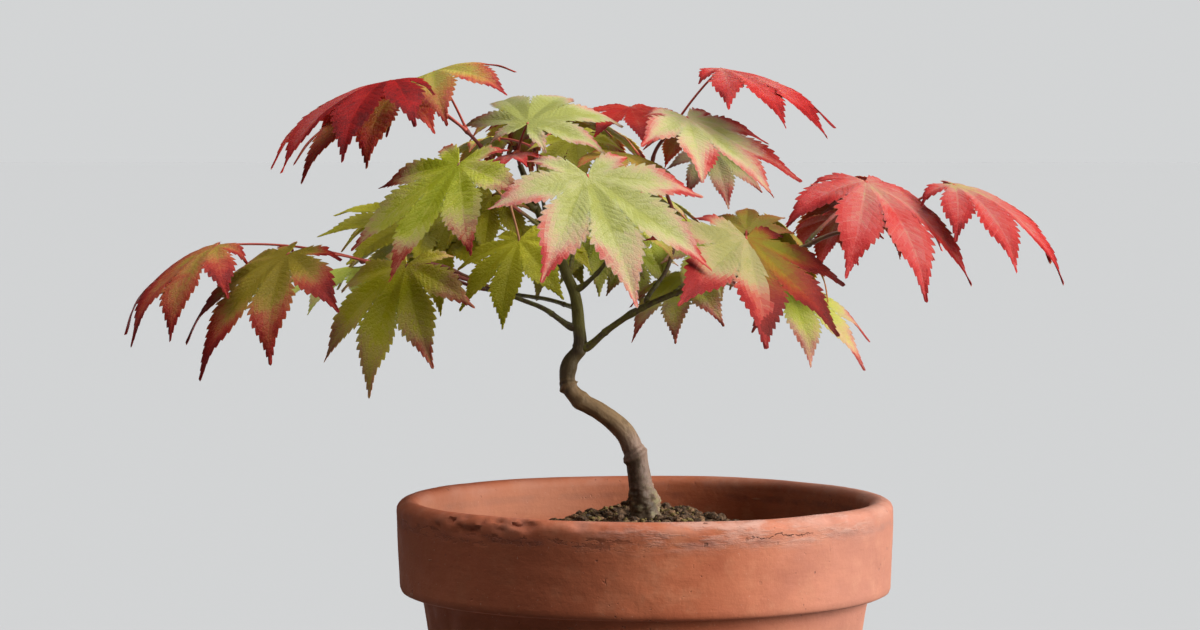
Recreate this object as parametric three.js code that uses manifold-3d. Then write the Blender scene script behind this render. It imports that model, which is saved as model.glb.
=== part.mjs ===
// A young japanese maple in a terracotta pot. Millimetres, +Z up.
// The origin is the centre of the pot's flat underside, -Y is the front and +X is to the right.
import * as THREE from 'three';
import { mergeVertices } from 'three/addons/utils/BufferGeometryUtils.js';
import Module from 'manifold-3d';

const wasm = await Module();
wasm.setup();

// Pot: a common clay pot, 140 mm across its rim
const RIM_RADIUS = 70;
const POT_HEIGHT = 128;
const COLLAR_HEIGHT = 26.3;
const COLLAR_FOOT_RADIUS = 69.2;
const BODY_TOP_RADIUS = 63.1;
const BODY_FOOT_RADIUS = 45;
const EDGE_ROUND = 1.5;
const LIP_INNER_RADIUS = 63;
const LIP_DROP = 2;
const LIP_SHOULDER = 0.5;
const INNER_LEDGE_RADIUS = 62;
const INNER_LEDGE_RISE = 6;
const INNER_THROAT_RADIUS = 57;
const INNER_THROAT_DROP = 4;
const FLOOR_THICKNESS = 9;
const FLOOR_INNER_RADIUS = 39;
const FLOOR_FILLET = 2;
const POT_SEGMENTS = 56;
const DRAIN_HOLE_RADIUS = 5;
const DRAIN_HOLE_CIRCLE = 22;
const DRAIN_HOLES = 3;
const DRAIN_HOLE_SEGMENTS = 16;
const COLLAR_FOOT = POT_HEIGHT - COLLAR_HEIGHT;
const LEDGE_HEIGHT = COLLAR_FOOT + INNER_LEDGE_RISE;
const THROAT_HEIGHT = COLLAR_FOOT - INNER_THROAT_DROP;

// Soil: a mound that fills the pot to below its rim
const FIT_GAP = 0.3;
const SOIL_CROWN = 122;
const SOIL_EDGE = 113.5;
const SOIL_FLAT_RADIUS = 9;
const SOIL_SEGMENTS = 32;
const SOIL_RINGS = [54, 47.5, 41, 35, 29.5, 24.5, 19.5, 14.5];
const SOIL_SLOPE = 1.15;
const SOIL_WAVE = 0.3;
const SOIL_CLOD = 1.6;
const SOIL_CLOD_SINK = 0.3;
const SOIL_SEED = 7;
const SOIL_HEAP = { x: 2, y: 14, height: 3.2, reach: 8 };

// Limbs
const PATH_SAMPLES = 200;
const TRUNK_SIDES = 14;
const BOUGH_SIDES = 6;
const FLARE_HEIGHT = 4.5;
const FLARE_REACH = 0.33;
const FLARE_RIPPLE = 0.6;
const FLARE_TOES = 3;

// Leaves: seven pointed lobes about the end of a leaf stalk
const LOBE_TURNS = [0, 36, 75, 120];
const LOBE_REACHES = [1, 0.92, 0.7, 0.36];
const LOBE_HALF_WIDTH = 0.165;
const LOBE_WIDEST = 0.52;
const NOTCH_REACH = 0.3;
const BASE_NOTCH_TURN = 28;
const BASE_NOTCH_REACH = 0.1;
const BLADE_THICKNESS = 0.8;
const DROOP_AT_ROOT = 0.6;
const DROOP_BY_REACH = 0.4;
const LEAST_DROOP = 0.001;
const STALK_RADIUS = 0.6;
const STALK_END_RADIUS = 0.36;
const STALK_SIDES = 4;
const STALK_STEPS = 3;
const STALK_BOW = 0.1;
const STALK_ROOT = 2.5;
const TWIG_SIDES = 6;
const TWIG_RADIUS = 0.75;
const NODE_RADIUS = 0.95;
const OUTLINE_STATIONS = [0.25, 0.5, 0.75, 1];
const OUTLINE_SIDES = [-0.7, 0, 0.7];
const LIMB_CLEARANCE = 1;
const LEAF_CLEARANCE = 3;
const HUB_SPACING = 12;

// Dealt leaves: a fan of leaf stalks that faces outwards, with the ranges of each leaf's size and lie
const DEALING_TRIES = 40;
const FAN_TURN = 55;
const FAN_SWAY = 25;
const DEALT_RISE = [0, 55];
const DEALT_STALK = [16, 32];
const DEALT_LENGTH = [28, 38];
const DEALT_PITCH = [-40, -10];
const DEALT_ROLL = [-15, 15];
const DEALT_DROOP = [25, 50];

const RADIANS = Math.PI / 180;
const UP = new THREE.Vector3(0, 0, 1);

function vector(at) {
  return new THREE.Vector3(at[0], at[1], at[2]);
}

// A repeatable stream of numbers from 0 to 1
function seeded(seed) {
  let state = seed;
  return () => {
    state = (state + 0x6d2b79f5) | 0;
    let mixed = Math.imul(state ^ (state >>> 15), 1 | state);
    mixed = (mixed + Math.imul(mixed ^ (mixed >>> 7), 61 | mixed)) ^ mixed;
    return ((mixed ^ (mixed >>> 14)) >>> 0) / 4294967296;
  };
}

function between(random, low, high) {
  return low + (high - low) * random();
}

// Points and triangles gathered into one closed surface
class Shell {
  constructor() {
    this.positions = [];
    this.triangles = [];
  }

  point(at) {
    this.positions.push(at.x, at.y, at.z);
    return this.positions.length / 3 - 1;
  }

  triangle(a, b, c) {
    this.triangles.push(a, b, c);
  }

  quad(a, b, c, d) {
    this.triangle(a, b, c);
    this.triangle(a, c, d);
  }

  geometry() {
    const geometry = new THREE.BufferGeometry();
    geometry.setAttribute('position', new THREE.Float32BufferAttribute(this.positions, 3));
    geometry.setIndex(this.triangles);
    return geometry;
  }
}

function solidOf(geometry) {
  const bare = geometry.clone();
  bare.deleteAttribute('normal');
  bare.deleteAttribute('uv');
  const merged = mergeVertices(bare, 1e-4);
  return new wasm.Manifold(new wasm.Mesh({
    numProp: 3,
    vertProperties: new Float32Array(merged.attributes.position.array),
    triVerts: new Uint32Array(merged.index.array),
  }));
}

function geometryOf(solid) {
  const mesh = solid.getMesh();
  const geometry = new THREE.BufferGeometry();
  geometry.setAttribute('position', new THREE.BufferAttribute(mesh.vertProperties, 3));
  geometry.setIndex(new THREE.BufferAttribute(mesh.triVerts, 1));
  return geometry;
}

// Turns a profile of [radius, height] about the upright axis
function turned(profile, segments) {
  const points = profile.map(([radius, height]) => new THREE.Vector2(radius, height));
  const geometry = new THREE.LatheGeometry(points, segments);
  geometry.rotateX(Math.PI / 2);
  return geometry;
}

// A tube with flat ends: rings of the given radii, each square to the path.
// The directions of its two ends and the outline of its rings can be given.
function tubeThrough(centres, radii, sides, { start, end, ringShape = () => 1 } = {}) {
  const shell = new Shell();
  const tangents = centres.map((centre, i) => {
    const before = centres[Math.max(i - 1, 0)];
    const after = centres[Math.min(i + 1, centres.length - 1)];
    return after.clone().sub(before).normalize();
  });
  if (start) {
    tangents[0].copy(start);
  }
  if (end) {
    tangents[tangents.length - 1].copy(end);
  }
  const across = new THREE.Vector3(0, 1, 0);
  const rings = centres.map((centre, i) => {
    across.addScaledVector(tangents[i], -across.dot(tangents[i])).normalize();
    const side = new THREE.Vector3().crossVectors(tangents[i], across);
    const ring = [];
    for (let k = 0; k < sides; k++) {
      const angle = (k * 2 * Math.PI) / sides;
      const radius = radii[i] * ringShape(centre, angle);
      const at = centre.clone();
      at.addScaledVector(across, radius * Math.cos(angle));
      at.addScaledVector(side, radius * Math.sin(angle));
      ring.push(shell.point(at));
    }
    return ring;
  });
  const foot = shell.point(centres[0]);
  const head = shell.point(centres[centres.length - 1]);
  for (let k = 0; k < sides; k++) {
    const next = (k + 1) % sides;
    for (let i = 0; i < rings.length - 1; i++) {
      shell.quad(rings[i][k], rings[i][next], rings[i + 1][next], rings[i + 1][k]);
    }
    shell.triangle(foot, rings[0][next], rings[0][k]);
    shell.triangle(head, rings[rings.length - 1][k], rings[rings.length - 1][next]);
  }
  return shell.geometry();
}

// Limbs: a tapering tube along a smooth path, with a swelling at each of its nodes
const limbs = new Map();

function nearestOn(limb, at) {
  let best = limb.curve.getPointAt(0);
  for (let i = 1; i <= PATH_SAMPLES; i++) {
    const candidate = limb.curve.getPointAt(i / PATH_SAMPLES);
    if (candidate.distanceTo(at) < best.distanceTo(at)) {
      best = candidate;
    }
  }
  return best;
}

function growLimb({ name, from, path, radii, steps, sides = BOUGH_SIDES, swellings = [] }) {
  const points = path.map(vector);
  if (from) {
    points.unshift(nearestOn(limbs.get(from), points[0]));
  }
  const curve = new THREE.CatmullRomCurve3(points, false, 'centripetal');
  const radiusAt = (along) => {
    let radius = THREE.MathUtils.lerp(radii[0], radii[1], along);
    if (radii.length === 3) {
      const half = along < 0.5 ? [radii[0], radii[1], along * 2] : [radii[1], radii[2], along * 2 - 1];
      radius = THREE.MathUtils.lerp(half[0], half[1], half[2]);
    }
    for (const [place, growth, reach] of swellings) {
      radius += growth * Math.exp(-(((along - place) / reach) ** 2));
    }
    return radius;
  };
  const limb = { name, from, curve, radiusAt, steps, sides };
  limbs.set(name, limb);
  return limb;
}

function limbGeometry(limb, grow = 0) {
  const centres = [];
  const radii = [];
  for (let i = 0; i <= limb.steps; i++) {
    centres.push(limb.curve.getPointAt(i / limb.steps));
    radii.push(limb.radiusAt(i / limb.steps) + grow);
  }
  const ringShape = (centre, angle) => {
    const low = limb.from ? 0 : Math.max(0, 1 - (centre.z - centres[0].z) / FLARE_HEIGHT);
    return 1 + FLARE_REACH * low * low * (1 + FLARE_RIPPLE * Math.cos(FLARE_TOES * angle));
  };
  const start = limb.from ? undefined : UP;
  return tubeThrough(centres, radii, limb.sides, { start, end: limb.curve.getTangentAt(1), ringShape });
}

const trunk = growLimb({
  name: 'trunk',
  path: [
    [0, 0, SOIL_CROWN + FIT_GAP],
    [-1.1, 0, 131],
    [-2.8, 0, 140],
    [-6.4, 0, 147],
    [-12.6, 0, 152],
    [-18.3, 0, 155.4],
    [-21.7, 0, 160],
    [-21, 0, 166],
    [-18.4, 0, 170],
    [-18.6, 0, 176],
    [-19.7, 0, 185],
    [-22.2, 1, 191],
    [-25, 2, 198],
    [-29.6, 3, 207.4],
    [-35.2, 4, 221.5],
  ],
  radii: [3.5, 1.9, 0.8],
  steps: 32,
  sides: TRUNK_SIDES,
  swellings: [[0.045, 0.5, 0.03], [0.155, 0.35, 0.012], [0.36, 0.4, 0.012], [0.455, 0.3, 0.02]],
});

growLimb({
  name: 'left_bough',
  from: 'trunk',
  path: [[-20.6, 0.3, 176], [-28.5, 3, 181], [-35.3, 5, 183.6], [-46.5, 4, 188], [-55.5, 2, 192.5], [-61, 0, 194]],
  radii: [1.1, 0.85, 0.75],
  steps: 16,
  swellings: [[0.62, 0.2, 0.03]],
});

growLimb({
  name: 'left_low_bough',
  from: 'left_bough',
  path: [[-40.5, 3, 186.2], [-45, 0, 187.6], [-50, -4.5, 189.5]],
  radii: [0.75, 0.7],
  steps: 5,
});

growLimb({
  name: 'left_back_bough',
  from: 'trunk',
  path: [[-20.5, 4, 181.5], [-27, 14, 183], [-36, 24, 184], [-47, 31, 185.5]],
  radii: [0.9, 0.75],
  steps: 8,
});

growLimb({
  name: 'upper_left_bough',
  from: 'trunk',
  path: [[-31.5, 2.5, 209.5], [-37.9, 1, 217.3], [-45, 0, 225.5]],
  radii: [0.85, 0.7],
  steps: 7,
});

growLimb({
  name: 'middle_left_bough',
  from: 'trunk',
  path: [[-28.5, -1, 203.5], [-32, -6, 206.5], [-36, -10, 209.5]],
  radii: [0.75, 0.7],
  steps: 5,
});

growLimb({
  name: 'front_bough',
  from: 'trunk',
  path: [[-17.5, -1, 187.5], [-12, -5, 193], [-8.5, -9, 199]],
  radii: [0.9, 0.75],
  steps: 6,
});

growLimb({
  name: 'right_bough',
  from: 'trunk',
  path: [
    [-16.5, -0.6, 170.3],
    [-9.8, -3, 175.8],
    [-2, -6, 181],
    [12.5, -8, 187.3],
    [25.9, -8, 190.6],
    [44.6, -6, 198.9],
    [52.5, -5.5, 202.3],
    [62, -6, 204],
  ],
  radii: [1.35, 1, 0.8],
  steps: 17,
  sides: 8,
  swellings: [[0.21, 0.35, 0.02], [0.53, 0.2, 0.02]],
});

growLimb({
  name: 'upper_right_bough',
  from: 'right_bough',
  path: [[0.5, -4, 184], [6.6, 5, 193], [8.5, 12, 206], [2.5, 17.5, 222]],
  radii: [0.85, 0.7],
  steps: 9,
});

growLimb({
  name: 'right_near_bough',
  from: 'right_bough',
  path: [[26.3, -10, 191], [27, -14, 193], [27.5, -19, 195.5]],
  radii: [0.75, 0.7],
  steps: 5,
});

growLimb({
  name: 'back_right_bough',
  from: 'right_bough',
  path: [[9, -3, 186.3], [12, 8, 188], [18, 20, 189.5]],
  radii: [0.8, 0.7],
  steps: 7,
});

growLimb({
  name: 'right_back_bough',
  from: 'right_bough',
  path: [[45.5, -3, 199.8], [49, 6, 203], [53, 16, 206]],
  radii: [0.75, 0.7],
  steps: 6,
});

growLimb({
  name: 'back_bough',
  from: 'trunk',
  path: [[-21.5, 3, 191], [-20, 14, 197], [-17, 27, 202]],
  radii: [0.85, 0.7],
  steps: 7,
});

growLimb({
  name: 'back_top_bough',
  from: 'trunk',
  path: [[-27.5, 5, 204], [-29, 13, 212], [-30, 21, 219]],
  radii: [0.8, 0.7],
  steps: 6,
});

// Leaf form: how far and how deep a point of a lobe lies once the lobe has drooped
function bladeFrame({ heading, pitch, roll }) {
  const [h, p, r] = [heading * RADIANS, pitch * RADIANS, roll * RADIANS];
  const ahead = new THREE.Vector3(Math.cos(p) * Math.cos(h), Math.cos(p) * Math.sin(h), Math.sin(p));
  const level = new THREE.Vector3(-Math.sin(h), Math.cos(h), 0);
  const lift = new THREE.Vector3().crossVectors(ahead, level);
  const left = level.clone().multiplyScalar(Math.cos(r)).addScaledVector(lift, Math.sin(r));
  const up = new THREE.Vector3().crossVectors(ahead, left);
  return { ahead, left, up };
}

function bladePoint(leaf, turn, reach, along, aside) {
  const { ahead, left, up } = leaf.frame;
  const outward = ahead.clone().multiplyScalar(Math.cos(turn)).addScaledVector(left, Math.sin(turn));
  const sideways = ahead.clone().multiplyScalar(-Math.sin(turn)).addScaledVector(left, Math.cos(turn));
  const length = reach * leaf.length;
  const share = DROOP_AT_ROOT + DROOP_BY_REACH * reach;
  const bend = Math.max(leaf.droop * RADIANS * share, LEAST_DROOP);
  const run = (length * Math.sin(bend * along)) / bend;
  const drop = (length * (1 - Math.cos(bend * along))) / bend;
  const at = leaf.hub.clone().addScaledVector(outward, run).addScaledVector(up, -drop);
  at.addScaledVector(sideways, aside * length * LOBE_HALF_WIDTH);
  const normal = up.clone().multiplyScalar(Math.cos(bend * along));
  normal.addScaledVector(outward, Math.sin(bend * along));
  return { at, normal };
}

function lobeTurn(leaf, index) {
  return Math.sign(index) * LOBE_TURNS[Math.abs(index)] * leaf.spread * RADIANS;
}

// The blade: each lobe is a ridge of stations from the hub to its tip, closed above and below
function bladeGeometry(leaf) {
  const shell = new Shell();
  const layers = [0.5, -0.5].map((layer) => {
    const place = ({ at, normal }) => shell.point(at.clone().addScaledVector(normal, layer * BLADE_THICKNESS));
    const hub = place({ at: leaf.hub, normal: leaf.frame.up });
    const notches = [];
    for (let index = -4; index < 4; index++) {
      const inner = Math.min(Math.abs(index), Math.abs(index + 1));
      const outer = Math.max(Math.abs(index), Math.abs(index + 1));
      if (outer > 3) {
        const turn = (LOBE_TURNS[3] * leaf.spread + BASE_NOTCH_TURN) * RADIANS * Math.sign(index + 0.5);
        notches.push(place(bladePoint(leaf, turn, BASE_NOTCH_REACH, 1, 0)));
      } else {
        const turn = (lobeTurn(leaf, index) + lobeTurn(leaf, index + 1)) / 2;
        const reach = (LOBE_REACHES[inner] + LOBE_REACHES[outer]) / 2;
        notches.push(place(bladePoint(leaf, turn, reach, NOTCH_REACH, 0)));
      }
    }
    const lobes = [];
    for (let index = -3; index <= 3; index++) {
      const reach = LOBE_REACHES[Math.abs(index)];
      const at = (along, aside) => place(bladePoint(leaf, lobeTurn(leaf, index), reach, along, aside));
      lobes.push({
        rightNotch: notches[index + 3],
        leftNotch: notches[index + 4],
        root: at(NOTCH_REACH, 0),
        right: at(LOBE_WIDEST, -1),
        middle: at(LOBE_WIDEST, 0),
        left: at(LOBE_WIDEST, 1),
        tip: at(1, 0),
      });
    }
    return { hub, lobes };
  });
  const skin = ({ hub, lobes }, face) => {
    for (const { rightNotch, leftNotch, root, right, middle, left, tip } of lobes) {
      face(hub, rightNotch, root);
      face(hub, root, leftNotch);
      face(rightNotch, right, middle);
      face(rightNotch, middle, root);
      face(root, middle, left);
      face(root, left, leftNotch);
      face(right, tip, middle);
      face(middle, tip, left);
    }
  };
  skin(layers[0], (a, b, c) => shell.triangle(a, b, c));
  skin(layers[1], (a, b, c) => shell.triangle(a, c, b));
  const rims = layers.map(({ hub, lobes }) => {
    const edge = lobes.flatMap(({ rightNotch, right, tip, left }) => [rightNotch, right, tip, left]);
    return [hub, ...edge, lobes[lobes.length - 1].leftNotch];
  });
  const count = rims[0].length;
  for (let i = 0; i < count; i++) {
    const next = (i + 1) % count;
    shell.quad(rims[0][i], rims[1][i], rims[1][next], rims[0][next]);
  }
  return shell.geometry();
}

function outlinePoints(leaf) {
  const points = [leaf.hub];
  for (let index = -3; index <= 3; index++) {
    const reach = LOBE_REACHES[Math.abs(index)];
    for (const along of OUTLINE_STATIONS) {
      for (const aside of OUTLINE_SIDES) {
        points.push(bladePoint(leaf, lobeTurn(leaf, index), reach, along, aside).at);
      }
    }
  }
  return points;
}

function makeLeaf({ hub, length, heading, pitch, roll = 0, droop = 40, spread = 1 }) {
  const frame = bladeFrame({ heading, pitch, roll });
  return { hub: vector(hub), length, droop, spread, frame };
}

// The leaf stalk: a slim bowed twig from its node into the thickness of the blade
function stalkGeometry(leaf, node) {
  const hub = leaf.hub;
  const middle = node.clone().lerp(hub, 0.5).addScaledVector(UP, STALK_BOW * node.distanceTo(hub));
  const curve = new THREE.QuadraticBezierCurve3(node, middle, hub);
  const centres = curve.getPoints(STALK_STEPS);
  centres.push(hub.clone().addScaledVector(leaf.frame.ahead, STALK_ROOT));
  const radii = centres.map((_, i) => (
    THREE.MathUtils.lerp(STALK_RADIUS, STALK_END_RADIUS, Math.min(i / STALK_STEPS, 1))
  ));
  return tubeThrough(centres, radii, STALK_SIDES);
}

function insideSpace(space, at) {
  const [cx, cy, cz] = space.centre;
  const [rx, ry, rz] = space.reach;
  return ((at.x - cx) / rx) ** 2 + ((at.y - cy) / ry) ** 2 + ((at.z - cz) / rz) ** 2 <= 1;
}

function clearOfLimbs(points) {
  for (const limb of limbs.values()) {
    for (let i = 0; i <= limb.steps * 2; i++) {
      const along = i / (limb.steps * 2);
      const centre = limb.curve.getPointAt(along);
      const reach = limb.radiusAt(along) + LIMB_CLEARANCE;
      if (points.some((at) => at.distanceTo(centre) < reach)) {
        return false;
      }
    }
  }
  return true;
}

// Foliage: each mass has one twig, with its leaves in opposite pairs turned about it.
// The leaves that show have their own places, and the rest are dealt by the seeded rule.
const masses = [
  {
    name: 'left_tip_foliage',
    bough: 'left_bough',
    twig: [[-66.5, -2, 193.5], [-80, -5, 194.7]],
    leaves: [
      { hub: [-120, -6, 199], length: 41, heading: -150, pitch: -20, droop: 50, spread: 0.85 },
      { hub: [-99, -14, 197], length: 45, heading: -145, pitch: -30, roll: -5, droop: 40 },
    ],
    colour: 0x7d4a2c,
  },
  {
    name: 'left_low_foliage',
    bough: 'left_low_bough',
    twig: [[-53, -7, 190.6]],
    leaves: [
      { hub: [-66, -17, 194], length: 39, heading: -130, pitch: -50, roll: -5, droop: 30 },
    ],
    colour: 0x6b7a2a,
  },
  {
    name: 'left_back_foliage',
    bough: 'left_back_bough',
    twig: [[-51, 33.5, 186.5], [-57, 35, 189]],
    leaves: [
      { hub: [-62, 24, 205], length: 34, heading: -168, pitch: 5, roll: -23, droop: 25 },
      { hub: [-54, 24, 209], length: 26, heading: -115, pitch: -36, roll: -5, droop: 20 },
      { hub: [-83, 52, 191], length: 31, heading: -125, pitch: -5 },
    ],
    more: 1,
    seed: 11,
    facing: 125,
    space: { centre: [-68, 45, 200], reach: [46, 48, 40] },
    colour: 0x7b8432,
  },
  {
    name: 'upper_left_foliage',
    bough: 'upper_left_bough',
    twig: [[-47.5, -0.2, 228.3], [-50.5, 0.5, 231.5]],
    leaves: [
      { hub: [-71, -6, 245], length: 48, heading: -145, pitch: -10, roll: 5, droop: 50, spread: 0.9 },
      { hub: [-70, 12, 242], length: 42, heading: -145, pitch: -15, droop: 45 },
      { hub: [-60, 16, 248], length: 36, heading: -90, pitch: -5, roll: 20 },
    ],
    colour: 0x8a2b22,
  },
  {
    name: 'middle_left_foliage',
    bough: 'middle_left_bough',
    twig: [[-38, -12.5, 211]],
    leaves: [
      { hub: [-51, -31, 222], length: 41, heading: -132, pitch: -46, roll: -2, droop: 6 },
      { hub: [-35, -16, 201], length: 30, heading: -105, pitch: -42, roll: 12, droop: 15 },
    ],
    colour: 0x8f9a3c,
  },
  {
    name: 'top_foliage',
    bough: 'trunk',
    twig: [[-35.6, 4, 223.6], [-36, 4, 225.5]],
    leaves: [
      { hub: [-33, -4, 233], length: 35, heading: 65, pitch: 30, roll: 10, droop: 35, spread: 1.1 },
    ],
    colour: 0xb9c27c,
  },
  {
    name: 'front_foliage',
    bough: 'front_bough',
    twig: [[-7.5, -11, 202], [-6.5, -13, 205]],
    leaves: [
      { hub: [-16, -46, 219], length: 46, heading: -65, pitch: -45, roll: 5, droop: 5 },
      { hub: [-8, 0, 225], length: 26, heading: -55, pitch: -10, roll: -5, droop: 35 },
      { hub: [-2, -10, 206], length: 24, heading: -65, pitch: -15, droop: 20 },
    ],
    colour: 0xc9cf9a,
  },
  {
    name: 'upper_right_foliage',
    bough: 'upper_right_bough',
    twig: [[3.5, 18.5, 226], [9, 20, 233]],
    leaves: [
      { hub: [22, 22, 249], length: 42, heading: -30, pitch: -10, droop: 35, spread: 0.7 },
      { hub: [12, 10, 235], length: 41, heading: -45, pitch: -30, droop: 5, spread: 0.9 },
      { hub: [-4, 28, 238], length: 26, heading: -80, pitch: -15, droop: 15 },
    ],
    colour: 0xc06a5a,
  },
  {
    name: 'right_near_foliage',
    bough: 'right_near_bough',
    twig: [[27.6, -22, 197]],
    leaves: [
      { hub: [27, -34, 202], length: 45, heading: -80, pitch: -35, roll: -15, droop: 5 },
      { hub: [28, -12, 203], length: 20, heading: 85, pitch: 30, droop: 20 },
    ],
    colour: 0x8c5a34,
  },
  {
    name: 'right_tip_foliage',
    bough: 'right_bough',
    twig: [[66, -6.2, 205.2], [74, -6, 210.4]],
    leaves: [
      { hub: [61, -12, 217], length: 46, heading: -60, pitch: -25, roll: -5, spread: 0.95 },
      { hub: [86, -6, 216], length: 43, heading: -20, pitch: -15, roll: 5, droop: 50, spread: 0.9 },
    ],
    colour: 0xc0433c,
  },
  {
    name: 'back_right_foliage',
    bough: 'back_right_bough',
    twig: [[21, 25, 190.5], [25, 31, 192]],
    leaves: [
      { hub: [12, 42, 189], length: 29, heading: -105, pitch: -25, roll: 10, droop: 35 },
      { hub: [41, 40, 186], length: 35, heading: -30, pitch: -25, roll: 10, droop: 35 },
    ],
    more: 2,
    seed: 5,
    facing: 75,
    space: { centre: [44, 45, 190], reach: [42, 44, 32] },
    colour: 0xa3a548,
  },
  {
    name: 'right_back_foliage',
    bough: 'right_back_bough',
    twig: [[55.5, 20, 208], [58, 26, 210]],
    leaves: [],
    more: 2,
    seed: 18,
    facing: 100,
    space: { centre: [60, 44, 204], reach: [34, 40, 24] },
    colour: 0xb0513f,
  },
  {
    name: 'back_foliage',
    bough: 'back_bough',
    twig: [[-15, 32, 204], [-13, 38, 206]],
    leaves: [],
    more: 3,
    seed: 16,
    facing: 90,
    space: { centre: [-14, 56, 204], reach: [42, 44, 30] },
    colour: 0x8d9a40,
  },
  {
    name: 'back_top_foliage',
    bough: 'back_top_bough',
    twig: [[-31, 25, 223], [-32, 30, 227]],
    leaves: [],
    more: 3,
    seed: 29,
    facing: 95,
    space: { centre: [-30, 50, 224], reach: [40, 42, 24] },
    colour: 0xa8914a,
  },
];

const placed = masses.flatMap((mass) => mass.leaves.map((spec) => {
  const leaf = makeLeaf(spec);
  return { mass: mass.name, hub: leaf.hub, outline: outlinePoints(leaf) };
}));

// A new leaf keeps off the leaves of every other mass, and its hub off every hub
function clearOfLeaves(mass, hub, points) {
  return placed.every((other) => {
    if (other.hub.distanceTo(hub) < HUB_SPACING) {
      return false;
    }
    return other.mass === mass.name || other.outline.every((edge) => (
      points.every((at) => at.distanceTo(edge) > LEAF_CLEARANCE)
    ));
  });
}

// The seeded rule: leaf stalks fan out from the twig's last node to the side that faces the light
function dealLeaves(mass, node) {
  const random = seeded(mass.seed);
  const draw = ([low, high]) => between(random, low, high);
  const leaves = [];
  for (let i = 0; i < DEALING_TRIES && leaves.length < mass.more; i++) {
    const heading = mass.facing + FAN_TURN * ((i % 3) - 1) + draw([-FAN_SWAY, FAN_SWAY]);
    const rise = draw(DEALT_RISE) * RADIANS;
    const stalk = draw(DEALT_STALK);
    const reach = new THREE.Vector3(
      Math.cos(rise) * Math.cos(heading * RADIANS),
      Math.cos(rise) * Math.sin(heading * RADIANS),
      Math.sin(rise),
    );
    const hub = node.clone().addScaledVector(reach, stalk);
    const leaf = makeLeaf({
      hub: hub.toArray(),
      length: draw(DEALT_LENGTH),
      heading,
      pitch: draw(DEALT_PITCH),
      roll: draw(DEALT_ROLL),
      droop: draw(DEALT_DROOP),
    });
    const outline = outlinePoints(leaf);
    const kept = outline.every((at) => insideSpace(mass.space, at));
    if (kept && clearOfLimbs(outline) && clearOfLeaves(mass, hub, outline)) {
      leaves.push(leaf);
      placed.push({ mass: mass.name, hub, outline });
    }
  }
  return leaves;
}

function foliageSolid(mass) {
  const bough = limbs.get(mass.bough);
  const heading = bough.curve.getTangentAt(1);
  const start = bough.curve.getPointAt(1).addScaledVector(heading, FIT_GAP);
  const points = [start, ...mass.twig.map(vector)];
  const curve = new THREE.CatmullRomCurve3(points, false, 'centripetal');
  const centres = curve.getPoints(points.length * 2);
  const radii = centres.map((_, i) => (i < centres.length - 2 ? TWIG_RADIUS : NODE_RADIUS));
  const node = centres[centres.length - 1].clone().lerp(centres[centres.length - 2], 0.5);
  let solid = solidOf(tubeThrough(centres, radii, TWIG_SIDES, { start: heading }));
  const leaves = mass.leaves.map(makeLeaf);
  if (mass.more) {
    leaves.push(...dealLeaves(mass, node));
  }
  for (const leaf of leaves) {
    solid = solid.add(solidOf(bladeGeometry(leaf)));
    solid = solid.add(solidOf(stalkGeometry(leaf, node)));
  }
  return solid;
}

// Pot: turned wall with a collar and a rounded lip, with drain holes round the middle of its floor
function potSolid() {
  const lipStart = POT_HEIGHT - LIP_DROP;
  const lipShoulder = POT_HEIGHT - LIP_SHOULDER;
  const profile = [
    [0, 0],
    [BODY_FOOT_RADIUS - EDGE_ROUND, 0],
    [BODY_FOOT_RADIUS, EDGE_ROUND],
    [BODY_TOP_RADIUS, COLLAR_FOOT],
    [COLLAR_FOOT_RADIUS - EDGE_ROUND, COLLAR_FOOT],
    [COLLAR_FOOT_RADIUS, COLLAR_FOOT + EDGE_ROUND],
    [RIM_RADIUS, lipStart],
    [RIM_RADIUS - LIP_SHOULDER, lipShoulder],
    [RIM_RADIUS - EDGE_ROUND, POT_HEIGHT],
    [LIP_INNER_RADIUS + EDGE_ROUND, POT_HEIGHT],
    [LIP_INNER_RADIUS + LIP_SHOULDER, lipShoulder],
    [LIP_INNER_RADIUS, lipStart],
    [INNER_LEDGE_RADIUS, LEDGE_HEIGHT],
    [INNER_THROAT_RADIUS, THROAT_HEIGHT],
    [FLOOR_INNER_RADIUS, FLOOR_THICKNESS + FLOOR_FILLET],
    [FLOOR_INNER_RADIUS - FLOOR_FILLET, FLOOR_THICKNESS],
    [0, FLOOR_THICKNESS],
  ];
  let solid = solidOf(turned(profile, POT_SEGMENTS));
  for (let i = 0; i < DRAIN_HOLES; i++) {
    const angle = Math.PI / 2 + (i * 2 * Math.PI) / DRAIN_HOLES;
    const drill = new THREE.CylinderGeometry(
      DRAIN_HOLE_RADIUS,
      DRAIN_HOLE_RADIUS,
      FLOOR_THICKNESS * 3,
      DRAIN_HOLE_SEGMENTS,
    );
    drill.rotateX(Math.PI / 2);
    drill.translate(DRAIN_HOLE_CIRCLE * Math.cos(angle), DRAIN_HOLE_CIRCLE * Math.sin(angle), 0);
    solid = solid.subtract(solidOf(drill));
  }
  return solid;
}

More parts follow.
